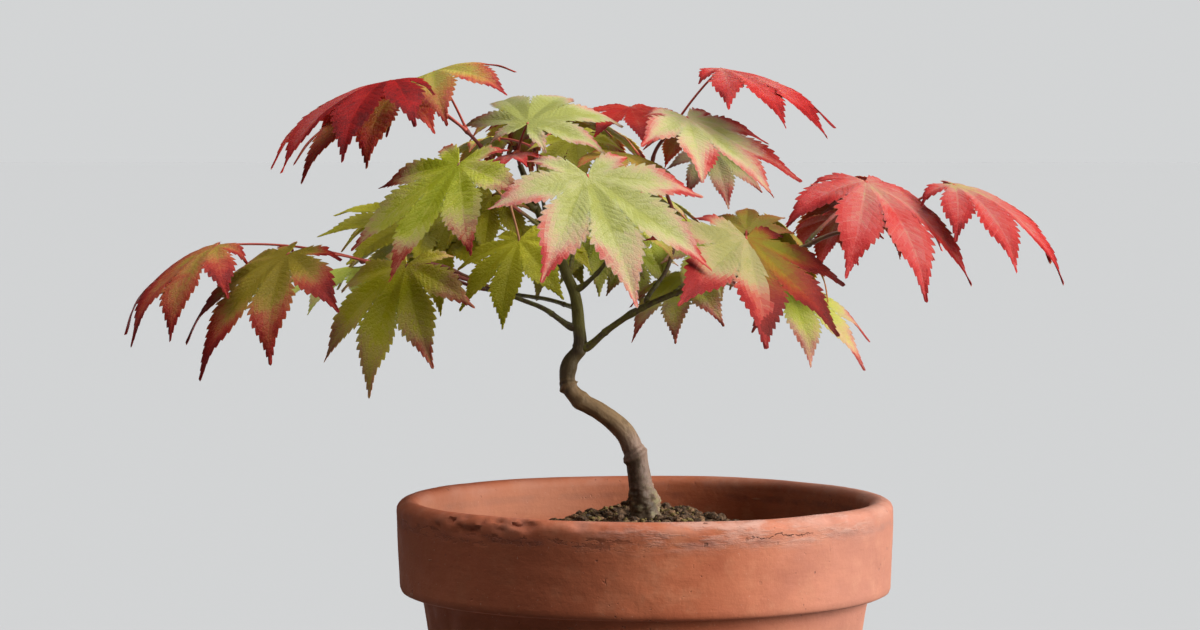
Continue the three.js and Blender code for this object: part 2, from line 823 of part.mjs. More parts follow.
// Soil: the same profile as the pot's inside, one gap smaller, under a mound of seeded clods
function soilGeometry() {
  const random = seeded(SOIL_SEED);
  const edgeShare = (SOIL_EDGE - LEDGE_HEIGHT) / (POT_HEIGHT - LIP_DROP - LEDGE_HEIGHT);
  const edgeRadius = THREE.MathUtils.lerp(INNER_LEDGE_RADIUS, LIP_INNER_RADIUS, edgeShare) - FIT_GAP;
  const rings = [
    { radius: FLOOR_INNER_RADIUS - FLOOR_FILLET - FIT_GAP, height: FLOOR_THICKNESS + FIT_GAP },
    { radius: FLOOR_INNER_RADIUS - FIT_GAP, height: FLOOR_THICKNESS + FLOOR_FILLET + FIT_GAP },
    { radius: INNER_THROAT_RADIUS - FIT_GAP, height: THROAT_HEIGHT },
    { radius: INNER_LEDGE_RADIUS - FIT_GAP, height: LEDGE_HEIGHT },
    { radius: edgeRadius, height: SOIL_EDGE },
  ];
  for (const radius of SOIL_RINGS) {
    const out = (SOIL_SLOPE * (radius - SOIL_FLAT_RADIUS)) / (edgeRadius - SOIL_FLAT_RADIUS);
    const fall = (1 - Math.cos(Math.PI * Math.min(out, 1))) / 2;
    rings.push({ radius, height: THREE.MathUtils.lerp(SOIL_CROWN, SOIL_EDGE, fall), lumpy: true });
  }
  rings.push({ radius: SOIL_FLAT_RADIUS, height: SOIL_CROWN });
  const shell = new Shell();
  const loops = rings.map(({ radius, height, lumpy = false }) => {
    const loop = [];
    for (let k = 0; k < SOIL_SEGMENTS; k++) {
      const angle = (k * 2 * Math.PI) / SOIL_SEGMENTS;
      const x = radius * Math.cos(angle);
      const y = radius * Math.sin(angle);
      const wave = SOIL_WAVE * (Math.sin(angle * 3 + radius) + Math.sin(angle * 7 - radius * 0.6));
      const away = Math.hypot(x - SOIL_HEAP.x, y - SOIL_HEAP.y) / SOIL_HEAP.reach;
      const heap = SOIL_HEAP.height * Math.exp((-away * away) / 2);
      const lump = lumpy ? wave + heap + SOIL_CLOD * (random() - SOIL_CLOD_SINK) : 0;
      loop.push(shell.point(new THREE.Vector3(x, y, height + lump)));
    }
    return loop;
  });
  const floor = shell.point(new THREE.Vector3(0, 0, FLOOR_THICKNESS + FIT_GAP));
  const crown = shell.point(new THREE.Vector3(0, 0, SOIL_CROWN));
  for (let k = 0; k < SOIL_SEGMENTS; k++) {
    const next = (k + 1) % SOIL_SEGMENTS;
    for (let i = 0; i < loops.length - 1; i++) {
      shell.quad(loops[i][k], loops[i][next], loops[i + 1][next], loops[i + 1][k]);
    }
    shell.triangle(floor, loops[0][next], loops[0][k]);
    shell.triangle(crown, loops[loops.length - 1][k], loops[loops.length - 1][next]);
  }
  return shell.geometry();
}

function addPiece(name, geometry, colour, roughness) {
  geometry.computeVertexNormals();
  const material = new THREE.MeshStandardMaterial({ color: colour, roughness, metalness: 0 });
  const mesh = new THREE.Mesh(geometry, material);
  mesh.name = name;
  group.add(mesh);
}

const TERRACOTTA = 0xc46a4a;
const SOIL_BROWN = 0x2b211b;
const TRUNK_BROWN = 0x6f6047;
const BOUGH_BROWN = 0x4a3b2a;

const group = new THREE.Group();
addPiece('pot', geometryOf(potSolid()), TERRACOTTA, 0.9);
addPiece('soil', soilGeometry(), SOIL_BROWN, 1);
addPiece('trunk', limbGeometry(trunk), TRUNK_BROWN, 0.8);

for (const limb of limbs.values()) {
  if (limb.from) {
    const parent = solidOf(limbGeometry(limbs.get(limb.from), FIT_GAP));
    addPiece(limb.name, geometryOf(solidOf(limbGeometry(limb)).subtract(parent)), BOUGH_BROWN, 0.7);
  }
}

for (const mass of masses) {
  addPiece(mass.name, geometryOf(foliageSolid(mass)), mass.colour, 0.6);
}

export default group;
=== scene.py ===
import math
import random

import bpy
import numpy as np
from bpy.props import FloatProperty, FloatVectorProperty, IntProperty, PointerProperty
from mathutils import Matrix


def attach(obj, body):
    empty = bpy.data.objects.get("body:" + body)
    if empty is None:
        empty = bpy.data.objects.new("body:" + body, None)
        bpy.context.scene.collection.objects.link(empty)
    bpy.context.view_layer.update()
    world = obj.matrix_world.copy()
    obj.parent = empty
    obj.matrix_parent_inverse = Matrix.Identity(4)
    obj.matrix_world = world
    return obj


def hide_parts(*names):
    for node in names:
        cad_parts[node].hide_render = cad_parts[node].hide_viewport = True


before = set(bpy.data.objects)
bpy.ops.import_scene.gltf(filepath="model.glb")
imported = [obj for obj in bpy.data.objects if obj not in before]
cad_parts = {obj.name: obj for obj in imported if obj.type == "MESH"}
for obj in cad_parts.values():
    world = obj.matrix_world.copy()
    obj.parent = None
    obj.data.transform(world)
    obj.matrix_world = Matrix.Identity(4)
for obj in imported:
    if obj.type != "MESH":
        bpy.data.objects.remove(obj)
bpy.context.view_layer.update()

bl_info = {
    "name": "Potted Japanese Maple",
    "version": (1, 0, 0),
    "blender": (4, 5, 0),
    "location": "3D View > Sidebar > Maple",
    "description": "Pot, soil, bark, twigs and lobed leaves of a young japanese maple",
    "category": "Object",
}

MM = 0.001
BODY = "root"


# Settings that a user may change
def length_setting(name, description, default):
    return FloatProperty(name=name, description=description, default=default, unit="LENGTH")


def angle_setting(name, description, default):
    return FloatProperty(name=name, description=description, default=default, subtype="ANGLE")


def number_setting(name, description, default):
    return FloatProperty(name=name, description=description, default=default)


def whole_setting(name, description, default):
    return IntProperty(name=name, description=description, default=default)


def colour_setting(name, description, default):
    return FloatVectorProperty(name=name, description=description, default=default, subtype="COLOR")


class PotSettings(bpy.types.PropertyGroup):
    """Sizes and colours of the clay pot"""

    rim_radius: length_setting("Rim radius", "Outer radius at the top of the collar", 0.070)
    height: length_setting("Height", "From the underside to the top of the lip", 0.128)
    collar_foot: length_setting("Collar foot", "Height of the collar's lower edge", 0.1017)
    collar_foot_radius: length_setting(
        "Collar foot radius", "Outer radius of the collar's lower edge", 0.0692
    )
    body_top_radius: length_setting("Body top radius", "Outer radius just under the collar", 0.0631)
    foot_radius: length_setting("Foot radius", "Outer radius of the underside", 0.045)
    lip_inner_radius: length_setting("Lip inner radius", "Inner radius of the lip", 0.063)
    floor_thickness: length_setting("Floor thickness", "Thickness of the floor", 0.009)
    drain_hole_radius: length_setting("Drain hole radius", "Radius of each hole in the floor", 0.005)
    wear: length_setting("Lip wear", "Depth of the chips along the lip", 0.0011)
    clay: colour_setting("Clay", "Fired clay", (0.53, 0.150, 0.064))
    # Deep clay is also painted on as shade, under the collar and towards the pot's left
    deep_clay: colour_setting("Deep clay", "Darker, damper clay", (0.40, 0.095, 0.036))
    pale_clay: colour_setting("Pale clay", "Dry, chalky clay", (0.62, 0.25, 0.135))
    # Bloom is also painted on as a highlight towards the pot's right
    bloom_and_highlight: colour_setting("Bloom", "Mineral bloom along the rim", (0.60, 0.37, 0.30))


class SoilSettings(bpy.types.PropertyGroup):
    """Sizes and colours of the potting soil"""

    crown: length_setting("Crown", "Height of the mound at the trunk", 0.122)
    edge: length_setting("Edge", "Height of the soil at the pot's wall", 0.1135)
    edge_radius: length_setting("Edge radius", "Outer radius of the mound", 0.0620)
    flat_radius: length_setting("Flat radius", "Radius of the level middle", 0.009)
    crumbs: whole_setting("Crumbs", "Loose dark crumbs on the mound", 1600)
    humus: colour_setting("Humus", "Moist dark soil", (0.034, 0.020, 0.012))
    dry_crumb: colour_setting("Dry crumb", "Drier crumbs", (0.205, 0.116, 0.058))
    grit: colour_setting("Grit", "Pale grit", (0.33, 0.25, 0.18))
    moss: colour_setting("Moss", "Ochre crumbs of moss and bark near the trunk", (0.30, 0.215, 0.070))


class LimbSettings(bpy.types.PropertyGroup):
    """Colours and relief of the trunk, boughs, twigs and leaf stalks"""

    slimness: number_setting("Slimness", "Thickness of a bough against that of its solid", 0.72)
    relief: length_setting("Bark relief", "Height of the bark's wrinkles at the trunk's foot", 0.00016)
    foot_bark: colour_setting("Foot bark", "Pale corky bark at the foot", (0.27, 0.185, 0.115))
    low_bark: colour_setting("Low bark", "Pinkish grey bark above the foot", (0.38, 0.250, 0.190))
    middle_bark: colour_setting("Middle bark", "Brown bark of the bend", (0.300, 0.190, 0.090))
    young_bark: colour_setting("Young bark", "Olive bark of the leader", (0.165, 0.150, 0.020))
    bough_bark: colour_setting("Bough bark", "Dark bark of the boughs", (0.085, 0.056, 0.028))
    lichen: colour_setting("Lichen", "Flecks at the trunk's foot", (0.42, 0.37, 0.19))
    shoot: colour_setting("Shoot", "Red shoots at the boughs' ends", (0.25, 0.052, 0.035))
    stalk: colour_setting("Leaf stalk", "Coral leaf stalks", (0.52, 0.085, 0.055))
    green_stalk: colour_setting("Green leaf stalk", "Leaf stalks of greener leaves", (0.36, 0.15, 0.06))


class LeafSettings(bpy.types.PropertyGroup):
    """Form and tints of the leaves"""

    teeth: whole_setting("Teeth", "Teeth along each side of the longest lobe", 13)
    tooth_reach: number_setting(
        "Tooth reach", "How far a tooth stands out, as a share of the leaf's length", 0.028
    )
    thickness: length_setting("Thickness", "Thickness of the blade", 0.00034)
    fold: angle_setting("Fold", "How much each lobe folds up along its middle vein", math.radians(13))
    tint_steps: whole_setting("Tint steps", "Base colours in each row of tints", 10)


class StageSettings(bpy.types.PropertyGroup):
    """Floor, light and camera"""

    backdrop: colour_setting("Backdrop", "Pale grey of the floor and the background", (0.65, 0.66, 0.665))
    key_strength: number_setting("Key light", "Strength of the soft light from the right", 4.9)
    top_strength: number_setting("Top light", "Strength of the soft light from above", 2.3)
    fill_strength: number_setting("Fill light", "Strength of the light from all round", 0.08)
    floor_shade: FloatVectorProperty(
        name="Floor shade",
        description="How dark the floor is against the background, to look alike once lit",
        default=(0.788, 0.785, 0.785),
    )
    lens: number_setting("Lens", "Focal length in millimetres on a 36 mm sensor", 105.96)
    camera_height: length_setting("Camera height", "Height of the camera above the floor", 0.226)
    camera_distance: length_setting("Camera distance", "From the pot's axis to the camera", 0.993)
    camera_aside: length_setting("Camera aside", "How far the camera stands to the right", -0.01265)
    camera_pitch: angle_setting("Camera pitch", "How far the camera looks down", math.radians(2.69))


# Smooth steps and repeatable noise
def smooth(low, high, value):
    share = np.clip((value - low) / (high - low), 0, 1)
    return share * share * (3 - 2 * share)


def hashed(x, y, z, seed):
    """A number from -1 to 1 for each whole lattice point"""
    mixed = (x * 374761393 + y * 668265263 + z * 2147483647 + seed * 1274126177) & 0xFFFFFFFF
    mixed = ((mixed ^ (mixed >> 13)) * 1274126177) & 0xFFFFFFFF
    return ((mixed ^ (mixed >> 16)) & 0xFFFF) / 32767.5 - 1


def noise(points, seed=0):
    """Smooth noise from about -1 to 1 at an array of points, one feature to each unit"""
    points = np.asarray(points, float)
    whole = np.floor(points).astype(np.int64)
    share = points - whole
    share = share * share * (3 - 2 * share)
    total = 0.0
    for dx in (0, 1):
        for dy in (0, 1):
            for dz in (0, 1):
                weight = (
                    (share[..., 0] if dx else 1 - share[..., 0])
                    * (share[..., 1] if dy else 1 - share[..., 1])
                    * (share[..., 2] if dz else 1 - share[..., 2])
                )
                corner = hashed(whole[..., 0] + dx, whole[..., 1] + dy, whole[..., 2] + dz, seed)
                total = total + weight * corner
    return total


def layered_noise(points, seed=0, layers=3):
    """Noise with finer noise laid over it"""
    points = np.asarray(points, float)
    return sum(noise(points * 2**layer, seed + layer) / 2**layer for layer in range(layers))


def hill(distance, width):
    """1 at no distance, falling smoothly to nothing a few widths away"""
    return np.exp(-((distance / width) ** 2))


def seeded(seed):
    """The source's repeatable stream of numbers from 0 to 1"""
    state = [seed]

    def whole(value):
        return value & 0xFFFFFFFF

    def draw(low=0.0, high=1.0):
        state[0] = whole(state[0] + 0x6D2B79F5)
        mixed = whole((state[0] ^ (state[0] >> 15)) * (1 | state[0]))
        mixed = whole(mixed + whole((mixed ^ (mixed >> 7)) * (61 | mixed))) ^ mixed
        return low + (high - low) * (mixed ^ (mixed >> 14)) / 4294967296

    return draw


def unit(vector):
    return vector / np.linalg.norm(vector)


def crosswise(way):
    """An axis that isn't along a way, to start a tube's first ring from"""
    return (0, 1, 0) if abs(way[1]) < 0.9 else (1, 0, 0)


# Smooth paths, by the same rule as in the source
class Path:
    """A centripetal Catmull-Rom curve through points"""

    def __init__(self, points):
        self.points = np.array(points, float)
        self.shares = np.linspace(0, 1, 201)
        steps = np.linalg.norm(np.diff(self.at(self.shares), axis=0), axis=1)
        self.lengths = np.concatenate([[0], np.cumsum(steps)])
        self.length = self.lengths[-1]

    def at(self, shares):
        """Points at shares of the count of stretches"""
        shares = np.atleast_1d(shares)
        p = self.points
        last = len(p) - 1
        spot = shares * last
        index = np.minimum(np.floor(spot).astype(int), last - 1)
        weight = (spot - index)[:, None]
        ends = np.vstack([2 * p[0] - p[1], p, 2 * p[-1] - p[-2]])
        p0, p1, p2, p3 = (ends[index + k] for k in range(4))
        d0, d1, d2 = (
            ((b - a) ** 2).sum(1, keepdims=True) ** 0.25 for a, b in ((p0, p1), (p1, p2), (p2, p3))
        )
        t1 = ((p1 - p0) / d0 - (p2 - p0) / (d0 + d1) + (p2 - p1) / d1) * d1
        t2 = ((p2 - p1) / d1 - (p3 - p1) / (d1 + d2) + (p3 - p2) / d2) * d1
        return (
            p1
            + t1 * weight
            + (-3 * p1 + 3 * p2 - 2 * t1 - t2) * weight**2
            + (2 * p1 - 2 * p2 + t1 + t2) * weight**3
        )

    def along(self, shares):
        """Points at shares of the length"""
        return self.at(np.interp(np.atleast_1d(shares) * self.length, self.lengths, self.shares))

    def direction(self, share):
        return unit(np.diff(self.at([max(share - 1e-4, 0), min(share + 1e-4, 1)]), axis=0)[0])


# Limbs: the source's trunk and boughs
class Limb:
    """A tapering tube along a path, with a swelling at each of its nodes"""

    def __init__(self, name, parent, path, radii, sides=24, swellings=()):
        points = [np.array(point, float) for point in path]
        if parent:
            spots = parent.path.along(np.linspace(0, 1, 201))
            points.insert(0, spots[np.argmin(np.linalg.norm(spots - points[0], axis=1))])
        self.name, self.parent, self.sides, self.swellings = name, parent, sides, swellings
        self.path = Path(points)
        self.radii = radii

    def radius(self, along):
        places = np.linspace(0, 1, len(self.radii))
        radius = np.interp(along, places, self.radii)
        for place, growth, reach in self.swellings:
            radius = radius + growth * hill(along - place, reach)
        return radius


TRUNK_FOOT = 122.3
TRUNK_PATH = [
    (0, 0, TRUNK_FOOT), (-1.1, 0, 131), (-2.8, 0, 140), (-6.4, 0, 147), (-12.6, 0, 152),
    (-18.3, 0, 155.4), (-21.7, 0, 160), (-21, 0, 166), (-18.4, 0, 170), (-18.6, 0, 176),
    (-19.7, 0, 185), (-22.2, 1, 191), (-25, 2, 198), (-29.6, 3, 207.4), (-35.2, 4, 221.5),
]
TRUNK_SWELLINGS = [(0.045, 0.5, 0.03), (0.155, 0.35, 0.012), (0.36, 0.4, 0.012), (0.455, 0.3, 0.02)]

# name, parent, path, radii, swellings, and how far its bark has turned to a red shoot at its tip
BOUGHS = [
    (
        "left_bough", "trunk",
        [
            (-20.6, 0.3, 176), (-28.5, 3, 181), (-35.3, 5, 183.6), (-46.5, 4, 188),
            (-55.5, 2, 192.5), (-61, 0, 194),
        ],
        [1.1, 0.85, 0.75], [(0.62, 0.2, 0.03)], 1.0,
    ),
    (
        "left_low_bough", "left_bough",
        [(-40.5, 3, 186.2), (-45, 0, 187.6), (-50, -4.5, 189.5)], [0.75, 0.7], [], 0.7,
    ),
    (
        "left_back_bough", "trunk",
        [(-20.5, 4, 181.5), (-27, 14, 183), (-36, 24, 184), (-47, 31, 185.5)], [0.9, 0.75], [], 0.5,
    ),
    (
        "upper_left_bough", "trunk",
        [(-31.5, 2.5, 209.5), (-37.9, 1, 217.3), (-45, 0, 225.5)], [0.85, 0.7], [], 1.0,
    ),
    (
        "middle_left_bough", "trunk",
        [(-28.5, -1, 203.5), (-32, -6, 206.5), (-36, -10, 209.5)], [0.75, 0.7], [], 0.7,
    ),
    (
        "front_bough", "trunk",
        [(-17.5, -1, 187.5), (-12, -5, 193), (-8.5, -9, 199)], [0.9, 0.75], [], 0.6,
    ),
    (
        "right_bough", "trunk",
        [
            (-16.5, -0.6, 170.3), (-9.8, -3, 175.8), (-2, -6, 181), (12.5, -8, 187.3),
            (25.9, -8, 190.6), (44.6, -6, 198.9), (52.5, -5.5, 202.3), (62, -6, 204),
        ],
        [1.35, 1, 0.8], [(0.21, 0.35, 0.02), (0.53, 0.2, 0.02)], 0.8,
    ),
    (
        "upper_right_bough", "right_bough",
        [(0.5, -4, 184), (6.6, 5, 193), (8.5, 12, 206), (2.5, 17.5, 222)], [0.85, 0.7], [], 1.0,
    ),
    (
        "right_near_bough", "right_bough",
        [(26.3, -10, 191), (27, -14, 193), (27.5, -19, 195.5)], [0.75, 0.7], [], 0.6,
    ),
    (
        "back_right_bough", "right_bough",
        [(9, -3, 186.3), (12, 8, 188), (18, 20, 189.5)], [0.8, 0.7], [], 0.4,
    ),
    (
        "right_back_bough", "right_bough",
        [(45.5, -3, 199.8), (49, 6, 203), (53, 16, 206)], [0.75, 0.7], [], 0.8,
    ),
    ("back_bough", "trunk", [(-21.5, 3, 191), (-20, 14, 197), (-17, 27, 202)], [0.85, 0.7], [], 0.5),
    ("back_top_bough", "trunk", [(-27.5, 5, 204), (-29, 13, 212), (-30, 21, 219)], [0.8, 0.7], [], 0.8),
]


def grown_limbs():
    limbs = {"trunk": Limb("trunk", None, TRUNK_PATH, [3.5, 1.9, 0.8], 56, TRUNK_SWELLINGS)}
    for name, parent, path, radii, swellings, _ in BOUGHS:
        limbs[name] = Limb(name, limbs[parent], path, radii, swellings=swellings)
    return limbs


# Leaf form: seven pointed lobes about the end of a leaf stalk, drooping as the source's do
LOBE_TURNS = [0, 36, 75, 120]
LOBE_REACHES = [1, 0.92, 0.7, 0.36]
LOBE_HALF_WIDTH = 0.165
NOTCH_REACH = 0.3
BASE_NOTCH_TURN = 28
BASE_NOTCH_REACH = 0.1
DROOP_AT_ROOT = 0.6
DROOP_BY_REACH = 0.4
LEAST_DROOP = 0.001
STALK_BOW = 0.1
LIMB_CLEARANCE = 1
LEAF_CLEARANCE = 3
HUB_SPACING = 12
DEALING_TRIES = 40
FAN_TURN = 55
FAN_SWAY = 25


class Leaf:
    """Where a leaf stands, and how it hangs"""

    def __init__(self, hub, length, heading, pitch, roll=0, droop=40, spread=1, tint=None):
        self.hub, self.length, self.spread, self.tint = np.array(hub, float), length, spread, tint
        self.droop = math.radians(droop)
        h, p, r = (math.radians(turn) for turn in (heading, pitch, roll))
        self.ahead = np.array([math.cos(p) * math.cos(h), math.cos(p) * math.sin(h), math.sin(p)])
        level = np.array([-math.sin(h), math.cos(h), 0])
        lift = np.cross(self.ahead, level)
        self.left = level * math.cos(r) + lift * math.sin(r)
        self.up = np.cross(self.ahead, self.left)

    def point(self, turn, reach, along, aside):
        """A point of a lobe, as in the source"""
        outward = self.ahead * math.cos(turn) + self.left * math.sin(turn)
        sideways = -self.ahead * math.sin(turn) + self.left * math.cos(turn)
        length = reach * self.length
        bend = max(self.droop * (DROOP_AT_ROOT + DROOP_BY_REACH * reach), LEAST_DROOP)
        run = length * math.sin(bend * along) / bend
        drop = length * (1 - math.cos(bend * along)) / bend
        return self.hub + outward * run - self.up * drop + sideways * aside * length * LOBE_HALF_WIDTH

    def turn(self, lobe):
        return math.copysign(math.radians(LOBE_TURNS[abs(lobe)] * self.spread), lobe)

    def outline(self):
        points = [self.hub]
        for lobe in range(-3, 4):
            for along in (0.25, 0.5, 0.75, 1):
                for aside in (-0.7, 0, 0.7):
                    points.append(self.point(self.turn(lobe), LOBE_REACHES[abs(lobe)], along, aside))
        return np.array(points)


# Tints: each row runs from a leaf's greenest parts to its most turned ones
TINT_ROWS = {
    "pale": [
        (0.29, 0.30, 0.075), (0.37, 0.37, 0.140), (0.44, 0.35, 0.19), (0.47, 0.25, 0.175),
        (0.46, 0.110, 0.088), (0.35, 0.030, 0.026)
    ],
    "lime": [
        (0.42, 0.46, 0.060), (0.49, 0.49, 0.110), (0.53, 0.42, 0.17), (0.53, 0.28, 0.19),
        (0.49, 0.13, 0.09), (0.33, 0.04, 0.035)
    ],
    # The moss row is olive made brighter: painted light for a leaf that hangs in shade
    "moss": [
        (0.56, 0.53, 0.014), (0.66, 0.60, 0.065), (0.66, 0.52, 0.13), (0.60, 0.33, 0.15),
        (0.50, 0.12, 0.08), (0.34, 0.04, 0.03)
    ],
    "green": [
        (0.34, 0.36, 0.013), (0.47, 0.47, 0.045), (0.56, 0.51, 0.130), (0.56, 0.34, 0.17),
        (0.46, 0.085, 0.050), (0.30, 0.022, 0.016)
    ],
    "olive": [
        (0.360, 0.330, 0.008), (0.470, 0.430, 0.026), (0.54, 0.48, 0.080), (0.50, 0.28, 0.105),
        (0.46, 0.095, 0.055), (0.30, 0.025, 0.018)
    ],
    "bronze": [
        (0.27, 0.195, 0.012), (0.35, 0.22, 0.035), (0.42, 0.135, 0.045), (0.39, 0.055, 0.026),
        (0.31, 0.020, 0.013), (0.20, 0.010, 0.008)
    ],
    "blush": [
        (0.27, 0.25, 0.085), (0.34, 0.285, 0.125), (0.39, 0.22, 0.125), (0.40, 0.105, 0.070),
        (0.35, 0.036, 0.027), (0.25, 0.014, 0.012)
    ],
    "shade": [
        (0.190, 0.160, 0.010), (0.210, 0.115, 0.010), (0.230, 0.050, 0.012), (0.230, 0.025, 0.013),
        (0.190, 0.014, 0.010), (0.130, 0.009, 0.006)
    ],
    "red": [
        (0.40, 0.29, 0.12), (0.43, 0.20, 0.14), (0.45, 0.110, 0.095), (0.46, 0.052, 0.045),
        (0.40, 0.018, 0.016), (0.25, 0.006, 0.006)
    ],
    "crimson": [
        (0.50, 0.12, 0.06), (0.47, 0.035, 0.020), (0.38, 0.009, 0.007), (0.26, 0.004, 0.004),
        (0.145, 0.004, 0.004), (0.08, 0.002, 0.003)
    ],
    "sunlit": [
        (0.70, 0.72, 0.110), (0.76, 0.72, 0.180), (0.74, 0.56, 0.23), (0.72, 0.38, 0.25),
        (0.66, 0.22, 0.17), (0.50, 0.10, 0.08)
    ],
    "yellow": [
        (0.38, 0.36, 0.045), (0.44, 0.34, 0.070), (0.48, 0.25, 0.060), (0.48, 0.13, 0.055),
        (0.42, 0.055, 0.040), (0.30, 0.018, 0.016)
    ],
}


class Tint:
    """How far a leaf has turned: everywhere, at its lobes' tips, along its margins, and from its right side
    to its left. A second row takes the leaf's left side."""

    def __init__(
        self, row, base, tip, margin, across=0.0, patches=0.1, vein=-0.07, root=0.0, left_row=None
    ):
        self.row, self.base, self.tip, self.margin = row, base, tip, margin
        self.across, self.patches, self.vein, self.root = across, patches, vein, root
        self.left_row = left_row or row

    def turned(self, along, aside, flat, vein, seed):
        """Shares from 0 to 1 for faces at these places of the blade"""
        spots = np.column_stack([flat * 5, np.full(len(flat), seed * 1.7)])
        uneven = 0.55 + 0.75 * smooth(-0.5, 0.7, layered_noise(spots * 0.8 + 40, seed + 3))
        value = self.base + self.tip * smooth(0.28, 0.98, along) * (0.8 + 0.4 * uneven - 0.2)
        outwards = 0.30 + 0.70 * smooth(0.15, 0.7, along)
        value = value + self.margin * uneven * smooth(0.25, 1.0, aside) * outwards
        value = value + self.across * flat[:, 1] + self.vein * vein
        value = value + self.root * (1 - smooth(0.0, 0.38, along))
        value = value + self.patches * layered_noise(spots, seed)
        value = value + 0.055 * noise(spots * 7, seed + 7) + 0.035 * noise(spots * 17, seed + 9)
        return np.clip(value, 0, 0.999)


# Foliage: each mass has its bough, its twig, its leaves and the tint of those that the rule deals
def foliage(name, tone, bough, twig, leaves, **dealing):
    """A mass's own names and rows, and how the rule deals its further leaves, if it does"""
    names = dict(name=f"{name}_foliage", slot=f"{tone}_leaves")
    return dict(**names, bough=bough, twig=twig, leaves=leaves, **dealing)


